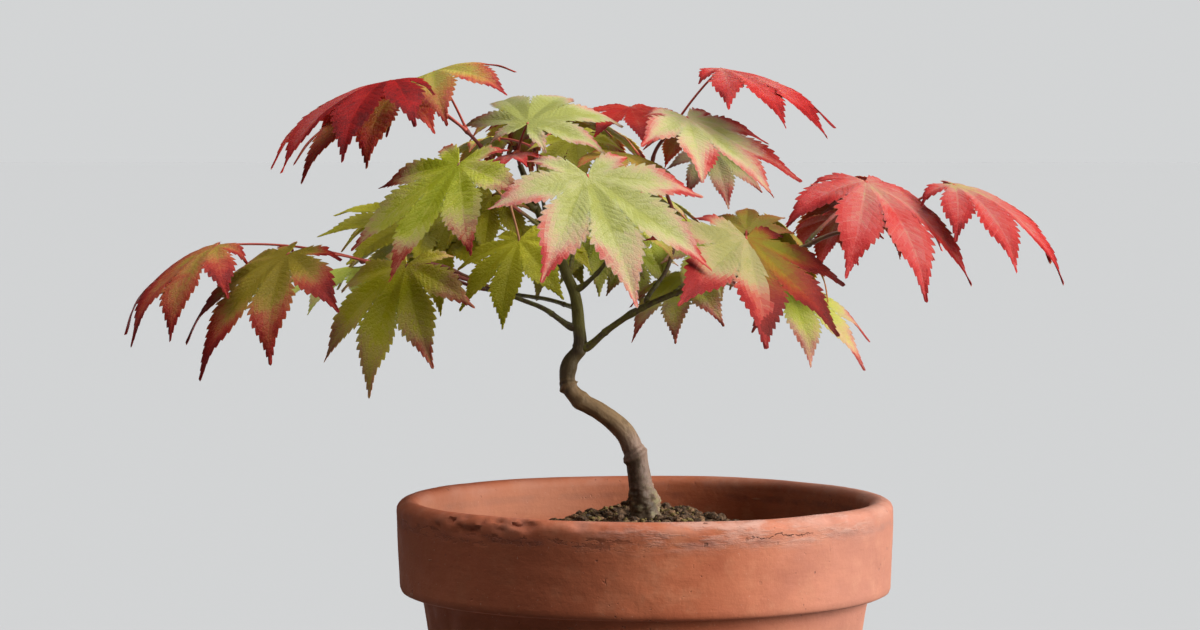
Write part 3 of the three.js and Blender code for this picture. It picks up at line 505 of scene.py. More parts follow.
MASSES = [
    foliage("left_tip", "bronze", "left_bough", [(-66.5, -2, 193.5), (-80, -5, 194.7)], [
        Leaf((-120, -6, 199), 41, -150, -20, 0, 50, 0.85, Tint("bronze", 0.42, 0.50, 0.26, -0.25, 0.24)),
        Leaf((-99, -14, 197), 45, -145, -30, -5, 40, 1, Tint("bronze", 0.02, 0.95, 0.20, -0.04, 0.14)),
    ]),
    foliage("left_low", "green", "left_low_bough", [(-53, -7, 190.6)], [
        # This leaf takes the brightened moss row, painted light for its place in shade
        Leaf((-66, -17, 194), 39, -130, -50, -5, 30, 1, Tint("moss", 0.14, 0.42, 0.10, 0.10, 0.16)),
    ]),
    foliage("left_back", "green", "left_back_bough", [(-51, 33.5, 186.5), (-57, 35, 189)], [
        Leaf((-62, 24, 205), 34, -168, 5, -23, 25, 1, Tint("olive", 0.10, 0.15, 0.05)),
        Leaf((-54, 24, 209), 26, -115, -36, -5, 20, 1, Tint("olive", 0.10, 0.14, 0.06)),
        Leaf((-83, 52, 191), 31, -125, -5, 0, 40, 1, Tint("lime", 0.02, 0.2, 0.08)),
    ], more=1, seed=11, facing=125, centre=(-68, 45, 200), reach=(46, 48, 40),
        tint=Tint("green", 0.16, 0.3, 0.12)),
    foliage("upper_left", "red", "upper_left_bough", [(-47.5, -0.2, 228.3), (-50.5, 0.5, 231.5)], [
        Leaf(
            (-71, -6, 245), 48, -145, -10, 5, 50, 0.9,
            Tint("red", 0.52, 0.30, 0.08, 0.0, 0.16, -0.10, 0.0, "crimson")
        ),
        Leaf((-70, 12, 242), 42, -145, -15, 0, 45, 1, Tint("yellow", 0.52, 0.26, 0.10, 0.0, 0.12)),
        Leaf((-60, 16, 248), 36, -90, -5, 20, 40, 1, Tint("yellow", 0.16, 0.55, 0.34, 0.15, 0.10)),
    ]),
    foliage("middle_left", "green", "middle_left_bough", [(-38, -12.5, 211)], [
        Leaf((-51, -31, 222), 41, -132, -46, -2, 6, 1, Tint("green", 0.04, 0.84, 0.14, 0.10, 0.24, 0.10)),
        Leaf((-35, -16, 201), 30, -105, -42, 12, 15, 1, Tint("olive", 0.10, 0.08, 0.03, 0.0, 0.08)),
    ]),
    foliage("top", "pale", "trunk", [(-35.6, 4, 223.6), (-36, 4, 225.5)], [
        Leaf((-33, -4, 233), 35, 65, 30, 10, 35, 1.1, Tint("pale", 0.06, 0.36, 0.30, 0.0, 0.14)),
    ]),
    foliage("front", "pale", "front_bough", [(-7.5, -11, 202), (-6.5, -13, 205)], [
        Leaf((-16, -46, 219), 46, -65, -45, 5, 5, 1, Tint("pale", 0.14, 0.52, 0.30, 0.0, 0.14)),
        Leaf((-8, 0, 225), 26, -55, -10, -5, 35, 1, Tint("bronze", 0.15, 0.35, 0.1)),
        Leaf((-2, -10, 206), 24, -65, -15, 0, 20, 1, Tint("yellow", 0.02, 0.25, 0.08)),
    ]),
    foliage("upper_right", "red", "upper_right_bough", [(3.5, 18.5, 226), (9, 20, 233)], [
        Leaf(
            (22, 22, 249), 42, -30, -10, 0, 35, 0.7, Tint("red", 0.56, 0.40, 0.10, 0.16, 0.14, -0.08, -0.16)
        ),
        Leaf((12, 10, 235), 41, -45, -30, 0, 5, 0.9, Tint("pale", 0.26, 0.54, 0.44, 0.20, 0.20)),
        Leaf((-4, 28, 238), 26, -80, -15, 0, 15, 1, Tint("crimson", 0.30, 0.12, 0.05)),
    ]),
    foliage("right_near", "bronze", "right_near_bough", [(27.6, -22, 197)], [
        Leaf(
            (27, -34, 202), 45, -80, -35, -15, 5, 1,
            Tint("blush", 0.12, 1.00, 0.30, 0.10, 0.16, -0.03, 0.0, "shade")
        ),
        Leaf((28, -12, 203), 20, 85, 30, 0, 20, 1, Tint("yellow", 0.20, 0.30, 0.15)),
    ]),
    foliage("right_tip", "red", "right_bough", [(66, -6.2, 205.2), (74, -6, 210.4)], [
        Leaf(
            (61, -12, 217), 46, -60, -25, -5, 40, 0.95,
            Tint("red", 0.46, 0.26, 0.20, -0.10, 0.14, -0.10, -0.16)
        ),
        Leaf(
            (86, -6, 216), 43, -20, -15, 5, 50, 0.9, Tint("red", 0.42, 0.34, 0.20, 0.0, 0.10, -0.12, -0.36)
        ),
    ]),
    foliage("back_right", "green", "back_right_bough", [(21, 25, 190.5), (25, 31, 192)], [
        Leaf((12, 42, 189), 29, -105, -25, 10, 35, 1, Tint("sunlit", 0.02, 0.75, 0.20)),
        Leaf((41, 40, 186), 35, -30, -25, 10, 35, 1, Tint("lime", 0.02, 0.80, 0.22)),
    ], more=2, seed=5, facing=75, centre=(44, 45, 190), reach=(42, 44, 32),
        tint=Tint("yellow", 0.08, 0.42, 0.16)),
    foliage("right_back", "red", "right_back_bough", [(55.5, 20, 208), (58, 26, 210)], [],
        more=2, seed=18, facing=100, centre=(60, 44, 204), reach=(34, 40, 24),
        tint=Tint("red", 0.36, 0.30, 0.20)),
    foliage("back", "green", "back_bough", [(-15, 32, 204), (-13, 38, 206)], [],
        more=3, seed=16, facing=90, centre=(-14, 56, 204), reach=(42, 44, 30),
        tint=Tint("lime", 0.04, 0.5, 0.18)),
    foliage("back_top", "bronze", "back_top_bough", [(-31, 25, 223), (-32, 30, 227)], [],
        more=3, seed=29, facing=95, centre=(-30, 50, 224), reach=(40, 42, 24),
        tint=Tint("olive", 0.14, 0.6, 0.34)),
]


# Smaller leaves between the larger ones, on stalks from the same nodes
FINER = {
    "left_back_foliage": [
        Leaf((-72, 46, 208), 22, 175, -20, 5, 30, 1, Tint("olive", 0.10, 0.30, 0.10)),
        Leaf((-55, 15, 200), 31, -150, -42, -5, 20, 1, Tint("olive", 0.08, 0.12, 0.04)),
    ],
    "middle_left_foliage": [
        Leaf((-43, 12, 213), 22, -100, -48, 0, 20, 1, Tint("olive", 0.16, 0.16, 0.06)),
        Leaf((-27, 18, 204), 20, -80, -45, 0, 20, 1, Tint("olive", 0.20, 0.10, 0.05)),
    ],
    "top_foliage": [
        Leaf((-37, -4, 224.5), 12, -70, -5, 10, 20, 1, Tint("red", 0.40, 0.30, 0.15)),
        Leaf((-42, 1, 222), 10, -150, 10, 0, 20, 1, Tint("red", 0.50, 0.30, 0.15)),
    ],
    "back_foliage": [
        Leaf((-12, 47, 203), 25, -92, -42, 5, 20, 1, Tint("lime", 0.04, 0.20, 0.08)),
        Leaf((-25, 60, 200), 24, -112, -36, 0, 25, 1, Tint("lime", 0.02, 0.30, 0.08)),
        Leaf((5, 46, 206), 22, -84, -46, -5, 15, 1, Tint("lime", 0.0, 0.12, 0.05)),
        Leaf((-3, 62, 196), 22, -75, -40, 0, 25, 1, Tint("lime", 0.10, 0.34, 0.12)),
    ],
    "back_right_foliage": [
        Leaf((18, 34, 199), 21, -70, -45, 8, 20, 1, Tint("lime", 0.06, 0.40, 0.16)),
        Leaf((30, 52, 199), 22, -60, -38, 0, 25, 1, Tint("lime", 0.08, 0.30, 0.12)),
    ],
    "right_back_foliage": [
        Leaf((68, 26, 208), 24, 20, -30, 0, 30, 1, Tint("red", 0.30, 0.36, 0.20)),
        Leaf((58, 50, 206), 23, 110, -30, 5, 30, 1, Tint("red", 0.44, 0.30, 0.20)),
    ],
    "upper_right_foliage": [
        Leaf((20, 30, 226), 22, -75, -40, 5, 20, 1, Tint("pale", 0.24, 0.40, 0.20)),
        Leaf((12, 34, 231), 22, 70, -15, 0, 35, 1, Tint("red", 0.30, 0.34, 0.18)),
    ],
    "back_top_foliage": [
        Leaf((-20, 30, 230), 22, -85, -35, 0, 20, 1, Tint("olive", 0.06, 0.30, 0.20)),
        Leaf((-44, 42, 229), 23, 165, -15, 5, 30, 1, Tint("olive", 0.16, 0.50, 0.24)),
    ],
}


class Spray:
    """One mass as it grows: its twig's path, the node its leaf stalks leave, and its leaves"""

    def __init__(self, mass, limbs):
        bough = limbs[mass["bough"]]
        tip = bough.path.points[-1]
        heading = bough.path.direction(1)
        points = [tip + heading * 0.3, *(np.array(point, float) for point in mass["twig"])]
        centres = Path(points).at(np.linspace(0, 1, len(points) * 2 + 1))
        self.mass = mass
        self.path = Path([tip - heading * 1.5, *points])
        self.node = (centres[-1] + centres[-2]) / 2
        self.leaves = list(mass["leaves"])


def grown_sprays(limbs):
    """Every mass with its placed leaves and with those that the seeded rule deals"""
    placed = [(mass["name"], leaf.hub, leaf.outline()) for mass in MASSES for leaf in mass["leaves"]]
    bark = np.vstack([
        np.column_stack([limb.path.along(shares), limb.radius(shares) + LIMB_CLEARANCE])
        for limb in limbs.values() for shares in [np.linspace(0, 1, 60)]
    ])
    sprays = []
    for mass in MASSES:
        spray = Spray(mass, limbs)
        sprays.append(spray)
        if "more" not in mass:
            continue
        draw = seeded(mass["seed"])
        dealt = 0
        for attempt in range(DEALING_TRIES):
            if dealt == mass["more"]:
                break
            heading = mass["facing"] + FAN_TURN * (attempt % 3 - 1) + draw(-FAN_SWAY, FAN_SWAY)
            rise = math.radians(draw(0, 55))
            stalk = draw(16, 32)
            turn = math.radians(heading)
            hub = spray.node + stalk * np.array(
                [math.cos(rise) * math.cos(turn), math.cos(rise) * math.sin(turn), math.sin(rise)]
            )
            length, pitch, roll, droop = draw(28, 38), draw(-40, -10), draw(-15, 15), draw(25, 50)
            leaf = Leaf(hub, length, heading, pitch, roll, droop, 1, mass["tint"])
            outline = leaf.outline()
            inside = (((outline - mass["centre"]) / mass["reach"]) ** 2).sum(1).max() <= 1
            off_bark = (np.linalg.norm(outline[:, None] - bark[None, :, :3], axis=2) >= bark[:, 3]).all()
            off_leaves = all(
                np.linalg.norm(other - hub) >= HUB_SPACING
                and (
                    name == mass["name"]
                    or np.linalg.norm(outline[:, None] - edge[None], axis=2).min() > LEAF_CLEARANCE
                )
                for name, other, edge in placed
            )
            if inside and off_bark and off_leaves:
                dealt += 1
                spray.leaves.append(leaf)
                placed.append((mass["name"], hub, outline))
    for spray in sprays:
        spray.leaves += FINER.get(spray.mass["name"], [])
    return sprays


# Blades: each lobe is a grid of rows that sweep forward like its side veins, with a tooth at every fourth row
COLUMNS = np.array([0, 0.07, 0.25, 0.45, 0.65, 0.84, 1.0])
INNER_ROWS = 6
TOOTH_EDGE = np.array([0.0, 0.38, 0.74, 1.06])
TOOTH_HEIGHT = np.array([0.0, 0.45, 0.8, 1.0])
TOOTH_RIB = np.array([0.0, 0.34, 0.68, 0.86])
VEIN_LEAD = 0.85
FIRST_TOOTH, TOOTH_CROWDING, LAST_GAP = 0.015, 1.06, 0.35
ROUNDING = 0.006
LOBES = range(-3, 4)


def teeth_of(lobe, teeth):
    return max(3, round(teeth * LOBE_REACHES[abs(lobe)]))


def tooth_places(tooth, teeth):
    """Where places counted in teeth lie on a lobe's free length. The teeth crowd towards its root."""
    share = np.minimum(tooth / (teeth + LAST_GAP), 0.999)
    return FIRST_TOOTH + (1 - FIRST_TOOTH) * (1 - (1 - share) ** TOOTH_CROWDING)


class BladeGrid:
    """The corners and faces that every blade shares"""

    def __init__(self, teeth):
        side = len(COLUMNS) - 1
        self.across = np.concatenate([-COLUMNS[:0:-1], COLUMNS])
        columns = len(self.across)
        self.lobes = []
        self.owners = []
        rims = []
        previous = None
        self.owners.append((0, 0, side))
        rims.append(True)
        for lobe in LOBES:
            rows = INNER_ROWS + 4 * teeth_of(lobe, teeth) + 1
            ids = np.zeros((rows + 1, columns), int)
            for row in range(1, rows + 1):
                for column in range(columns):
                    if row == rows and column:
                        ids[row, column] = ids[row, 0]
                    elif previous is not None and column == 0 and row <= INNER_ROWS:
                        ids[row, 0] = previous[row, -1]
                    else:
                        ids[row, column] = len(self.owners)
                        self.owners.append((lobe, row, column))
                        at_side = column in (0, columns - 1)
                        free = (lobe == -3 and column == 0) or (lobe == 3 and column == columns - 1)
                        rims.append(row == rows or (at_side and (row >= INNER_ROWS or free)))
            self.lobes.append(ids)
            previous = ids
        self.rim = np.array(rims)
        below = np.arange(len(self.owners))
        below[~self.rim] = len(self.owners) + np.arange((~self.rim).sum())
        faces, spots = [], []
        for lobe, ids in zip(LOBES, self.lobes):
            for row in range(len(ids) - 1):
                for column in range(columns - 1):
                    corners = [
                        ids[row, column], ids[row + 1, column], ids[row + 1, column + 1],
                        ids[row, column + 1]
                    ]
                    corners = [corner for k, corner in enumerate(corners) if corner != corners[k - 1]]
                    faces.append(corners)
                    spots.append((lobe, row, column))
        self.faces = faces + [[int(below[corner]) for corner in reversed(face)] for face in faces]
        self.spots = np.array(spots)
        self.count = len(self.owners)
        self.total = self.count + int((~self.rim).sum())


def lobe_width(along, start, start_width):
    """Half the width of a lobe, as a share of its length, from its notch to its tip"""
    places = [start, 0.48, 0.57, 0.66, 0.74, 0.81, 0.88, 0.94, 1.0]
    widths = [start_width, 0.152, 0.146, 0.122, 0.088, 0.056, 0.030, 0.014, 0.0]
    return np.interp(along, places, widths)


def lobe_side(draw, teeth, tooth_reach, reach, half, notch):
    """One side of a flat lobe, row by row: where its side veins leave, its edge, and its toothless edge"""
    rows = INNER_ROWS + 4 * teeth + 1
    rib, edge, base = np.zeros(rows + 1), np.zeros((rows + 1, 2)), np.zeros((rows + 1, 2))
    start, start_width = notch * math.cos(half) / reach, notch * math.sin(half) / reach
    first = reach * max(start - VEIN_LEAD * start_width, 0.35 * start)
    inner = np.arange(INNER_ROWS + 1) / INNER_ROWS
    base[: INNER_ROWS + 1] = inner[:, None] * reach * np.array([start, start_width])
    edge[: INNER_ROWS + 1] = base[: INNER_ROWS + 1]
    rib[: INNER_ROWS + 1] = inner * first

    tooth, step = np.repeat(np.arange(teeth), 4), np.tile(np.arange(4), teeth)
    places = tooth_places(tooth + TOOTH_RIB[step], teeth)
    edge_places = tooth_places(tooth + TOOTH_EDGE[step], teeth)
    uneven = np.array([draw.uniform(0.75, 1.25) for _ in range(teeth)])
    swell = tooth_reach * (0.30 + 0.70 * smooth(0.0, 0.25, places))
    swell = swell * (1 - 0.66 * smooth(0.45, 1.0, places))
    height = TOOTH_HEIGHT[step] * swell * uneven[tooth] * (0.6 + 0.4 * reach)
    for line, shares, extra in ((base, places, 0), (edge, edge_places, height)):
        spots = start + (1 - start) * shares
        width = reach * lobe_width(spots, start, start_width)
        limit = reach * spots * math.tan(half) * (1 - 0.10 * smooth(0, 0.3, shares))
        width = np.where((spots < 0.55) & (half < 0.45), np.minimum(width, limit), width)
        line[INNER_ROWS + 1 : rows, 0] = reach * spots
        line[INNER_ROWS + 1 : rows, 1] = width + extra
    spots = start + (1 - start) * places
    lead = reach * (spots - VEIN_LEAD * lobe_width(spots, start, start_width))
    rib[INNER_ROWS + 1 : rows] = np.maximum(lead, first)
    base[rows] = edge[rows] = (reach, 0)
    rib[rows] = reach
    return rib, edge, base


def hung(leaf, flat, turns):
    """Where the flat layout lies once the leaf droops, and which way its upper side faces there"""
    run = np.hypot(*flat.T) * leaf.length
    towards = np.arctan2(flat[:, 1], flat[:, 0])
    bends = [
        leaf.droop * (DROOP_AT_ROOT + DROOP_BY_REACH * LOBE_REACHES[abs(lobe)]) / LOBE_REACHES[abs(lobe)]
        for lobe in LOBES
    ]
    bend = np.maximum(np.interp(towards, turns, bends), LEAST_DROOP) / leaf.length
    outward = np.cos(towards)[:, None] * leaf.ahead + np.sin(towards)[:, None] * leaf.left
    arc = bend * run
    normal = np.cos(arc)[:, None] * leaf.up + np.sin(arc)[:, None] * outward
    spots = leaf.hub + outward * (np.sin(arc) / bend)[:, None]
    return spots - leaf.up * ((1 - np.cos(arc)) / bend)[:, None], normal


def blade(leaf, grid, settings, seed):
    """Corners of one blade in millimetres, its faces' places for the tints, and its flat layout"""
    draw = random.Random(seed)
    turns = [leaf.turn(lobe) + math.radians(draw.uniform(-2, 2)) for lobe in LOBES]
    reaches = [LOBE_REACHES[abs(lobe)] * draw.uniform(0.96, 1.04) for lobe in LOBES]
    flat = np.zeros((grid.count, 2))
    along = np.zeros(grid.count)
    aside = np.zeros(grid.count)
    lift = np.zeros(grid.count)
    fold = math.tan(settings.fold) * draw.uniform(0.8, 1.25)
    columns = len(grid.across)
    for k, lobe in enumerate(LOBES):
        reach, turn = reaches[k], turns[k]
        teeth = teeth_of(lobe, settings.teeth)
        rows = INNER_ROWS + 4 * teeth + 1
        sides = []
        for side in (-1, 1):
            if 0 <= k + side < len(LOBES):
                half = abs(turns[k + side] - turn) / 2
                notch = NOTCH_REACH * (reach + reaches[k + side]) / 2
            else:
                half, notch = math.radians(BASE_NOTCH_TURN), BASE_NOTCH_REACH
            sides.append(lobe_side(draw, teeth, settings.tooth_reach, reach, half, notch))
        ribs, edge, base = (np.array(lines) for lines in zip(*sides))
        middle = np.maximum.accumulate(ribs.mean(0) + np.arange(rows + 1) * 1e-6)
        row_of = np.arange(rows + 1)
        phase = draw.uniform(0, 6.28)
        sag = draw.uniform(0.7, 1.3)
        twist = math.tan(math.radians(draw.uniform(-7, 7)))
        between_veins = np.isin((row_of - INNER_ROWS - 1) % 4, (1, 2))
        quilt = np.where(row_of <= INNER_ROWS, row_of % 2, between_veins) - 0.5
        for column in range(columns):
            t = grid.across[column]
            s = int(t > 0)
            size = abs(t)
            point = np.column_stack([middle + (base[s, :, 0] - middle) * size**1.1, base[s, :, 1] * size])
            if size == 1:
                point = edge[s].copy()
            point[:, 1] *= 1 if t > 0 else -1
            ids = grid.lobes[k][:, column]
            x = point[:, 0] * math.cos(turn) - point[:, 1] * math.sin(turn)
            y = point[:, 0] * math.sin(turn) + point[:, 1] * math.cos(turn)
            flat[ids] = np.column_stack([x, y])
            along[ids] = point[:, 0] / reach
            aside[ids] = size
            distance = np.hypot(x, y)
            free = smooth(0, 1, np.clip((row_of - INNER_ROWS) / (rows - INNER_ROWS), 0, 1))
            lateral = np.abs(point[:, 1])
            folded = fold * (np.sqrt(lateral**2 + ROUNDING**2) - ROUNDING)
            raised = folded * smooth(0.02, 0.2, distance) * (1 - 0.35 * free)
            raised = raised + 0.0024 * quilt * math.sin(min(size / 0.9, 1) * math.pi) * (1 - 0.6 * free)
            raised = raised + free * point[:, 1] * twist
            raised = raised + 0.008 * free * size**2 * np.sin(free * 9 + phase * (1 if t > 0 else -1))
            raised = raised - 0.035 * sag * smooth(0.60, 1.0, along[ids]) ** 2
            lift[ids] = raised * leaf.length
    radius = np.hypot(*flat.T)
    places = np.column_stack([flat * 3.2, np.full(grid.count, seed * 0.37)])
    lift += 0.012 * leaf.length * noise(places, seed) * smooth(0, 0.25, radius)
    spots, normal = hung(leaf, flat, turns)
    spots = spots + normal * lift[:, None]
    half = settings.thickness / MM / 2 * np.where(grid.rim, 0, 1)
    top = spots + normal * half[:, None]
    bottom = (spots - normal * half[:, None])[~grid.rim]
    return np.vstack([top, bottom]), flat, along, aside


# Meshes from arrays
def ring_angles(sides):
    return np.arange(sides) * 2 * math.pi / sides


def new_piece(name, corners, faces, materials, slots=None, smooth_shading=True):
    """An object at the origin whose corners are given in metres"""
    mesh = bpy.data.meshes.new(name)
    mesh.from_pydata(corners, [], faces)
    for material in materials:
        mesh.materials.append(material)
    if slots is not None:
        mesh.polygons.foreach_set("material_index", np.asarray(slots, np.int32))
    mesh.polygons.foreach_set("use_smooth", np.full(len(mesh.polygons), smooth_shading))
    mesh.update()
    piece = bpy.data.objects.new(name, mesh)
    bpy.context.scene.collection.objects.link(piece)
    return piece


def settle(piece, slot, *nodes):
    """Ties a finished piece to the part"""
    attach(piece, BODY)
    if nodes:
        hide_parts(*nodes)


def tube(centres, rings, across=(0, 1, 0)):
    """Corners and faces of a closed tube. rings holds a radius for each centre and side."""
    centres = np.asarray(centres, float)
    count, sides = rings.shape
    across = np.array(across, float)
    angles = ring_angles(sides)
    corners = np.zeros((count, sides, 3))
    for i in range(count):
        tangent = unit(centres[min(i + 1, count - 1)] - centres[max(i - 1, 0)])
        across = unit(across - tangent * across.dot(tangent))
        side = np.cross(tangent, across)
        outward = np.cos(angles)[:, None] * across + np.sin(angles)[:, None] * side
        corners[i] = centres[i] + rings[i][:, None] * outward
    faces = []
    for i in range(count - 1):
        for k in range(sides):
            n = (k + 1) % sides
            faces.append((i * sides + k, i * sides + n, (i + 1) * sides + n, (i + 1) * sides + k))
    faces.append(tuple(range(sides))[::-1])
    faces.append(tuple((count - 1) * sides + k for k in range(sides)))
    return corners.reshape(-1, 3), faces


def places_around(angles, distance):
    """Where noise is read on a tube: round its ring and along its length"""
    return np.stack(np.broadcast_arrays(np.cos(angles)[None], np.sin(angles)[None], distance[:, None]), -1)


def lay_values(piece, name, values):
    """A number for each corner, for the material to read"""
    attribute = piece.data.attributes.new(name, "FLOAT", "POINT")
    attribute.data.foreach_set("value", np.clip(values, 0, 1).astype(np.float32).ravel())


def lay_bark_map(piece, count, sides, strips):
    """The bake's map for a tube: its length cut into strips that lie side by side"""
    layer = piece.data.uv_layers.new(name="OFBake")
    places = np.zeros((len(piece.data.loops), 2), np.float32)
    rows_each = math.ceil((count - 1) / strips)
    at = 0
    for face in piece.data.polygons:
        if face.index >= (count - 1) * sides:
            for turn in 2 * math.pi * np.arange(sides) / sides:
                low = 0.02 + 0.05 * (face.index % 2)
                places[at] = (0.96 + 0.02 * math.cos(turn), low + 0.02 * math.sin(turn))
                at += 1
            continue
        row, side = divmod(face.index, sides)
        strip, low = divmod(row, rows_each)
        for dr, ds in ((0, 0), (0, 1), (1, 1), (1, 0)):
            places[at] = (
                0.93 * (strip + 0.03 + 0.94 * (side + ds) / sides) / strips,
                0.01 + 0.98 * (low + dr) / rows_each,
            )
            at += 1
    layer.data.foreach_set("uv", places.ravel())


# Materials, built from nodes
class Finish:
    """A material under construction"""

    def __init__(self, name):
        self.material = bpy.data.materials.new(name)
        self.material.use_nodes = True
        self.tree = self.material.node_tree
        self.shader = self.tree.nodes["Principled BSDF"]
        self.shader.inputs["IOR"].default_value = 1.45

    def add(self, kind, settings=None, **inputs):
        node = self.tree.nodes.new(kind)
        for key, value in (settings or {}).items():
            setattr(node, key, value)
        for key, value in inputs.items():
            self.feed(node.inputs[key.replace("_", " ")], value)
        return node

    def feed(self, socket, value):
        if isinstance(value, bpy.types.NodeSocket):
            self.tree.links.new(value, socket)
        elif socket.type == "RGBA" and len(value) == 3:
            socket.default_value = (*value, 1)
        else:
            socket.default_value = value

    def place(self):
        return self.add("ShaderNodeTexCoord").outputs["Object"]

    def noise(self, place, scale, detail=3.0, roughness=0.55, stretch=None):
        if stretch:
            place = self.add("ShaderNodeMapping", Vector=place, Scale=stretch).outputs["Vector"]
        return self.add(
            "ShaderNodeTexNoise", Vector=place, Scale=scale, Detail=detail, Roughness=roughness
        ).outputs["Fac"]

    def range(self, value, low, high, new_low=0.0, new_high=1.0):
        node = self.add("ShaderNodeMapRange", {"interpolation_type": "SMOOTHSTEP"}, Value=value)
        for key, number in (
            ("From Min", low), ("From Max", high), ("To Min", new_low), ("To Max", new_high)
        ):
            node.inputs[key].default_value = number
        return node.outputs["Result"]

    def math(self, operation, first, second=0.0):
        node = self.add("ShaderNodeMath", {"operation": operation})
        self.feed(node.inputs[0], first)
        self.feed(node.inputs[1], second)
        return node.outputs["Value"]

    def times(self, *masks):
        """The product of masks and strengths"""
        product = masks[0]
        for mask in masks[1:]:
            product = self.math("MULTIPLY", product, mask)
        return product

    def coat(self, colour, over, *masks):
        """A colour with another laid over it, as strong as the product of the masks"""
        return self.mix(self.times(*masks), colour, over)

    def mix(self, share, first, second):
        node = self.add("ShaderNodeMix", {"data_type": "RGBA"})
        self.feed(node.inputs[0], share)
        self.feed(node.inputs[6], first)
        self.feed(node.inputs[7], second)
        return node.outputs[2]

    def bump(self, height, strength, distance, normal=None):
        node = self.add("ShaderNodeBump", Strength=strength, Distance=distance, Height=height)
        if normal:
            self.feed(node.inputs["Normal"], normal)
        return node.outputs["Normal"]

    def finish(self, colour=None, roughness=None, normal=None):
        for key, value in (("Base Color", colour), ("Roughness", roughness), ("Normal", normal)):
            if value is not None:
                self.feed(self.shader.inputs[key], value)
        return self.material


# The hairline crack under the lip, in metres
CRACK = dict(left=0.0275, right=0.0430, height=0.1236, zigzag=0.0005, half_width=0.00016)

# Painted shade and light, pits, chips and grains that the clay's own colours don't cover
# Painted shade under the lip
UNDER_LIP_SHADE = (0.20, 0.065, 0.045)
PIT = (0.13, 0.045, 0.025)
CHIP_SHADOW = (0.15, 0.040, 0.020)
CRACK_SHADOW = (0.13, 0.045, 0.03)
# Painted light on the upper left of the inner wall
INNER_WALL_LIGHT = (0.62, 0.29, 0.18)
NICK = (0.62, 0.34, 0.22)
GRAIN = (0.66, 0.40, 0.29)


def hairline(f, place, x, z, nearer):
    """Where the crack runs: a thin wandering line between its two ends"""
    wander = f.times(f.math("SUBTRACT", f.noise(place, 260, 3, 0.65), 0.5), CRACK["zigzag"] * 9)
    line = f.math("ABSOLUTE", f.math("SUBTRACT", f.math("ADD", z, wander), CRACK["height"]))
    return f.times(
        f.range(line, CRACK["half_width"] * 1.8, CRACK["half_width"] * 0.3),
        f.range(x, CRACK["left"] - 0.002, CRACK["left"] + 0.002),
        f.range(x, CRACK["right"] + 0.003, CRACK["right"] - 0.003),
        nearer,
        f.range(f.noise(place, 420, 2), 0.36, 0.52),
    )


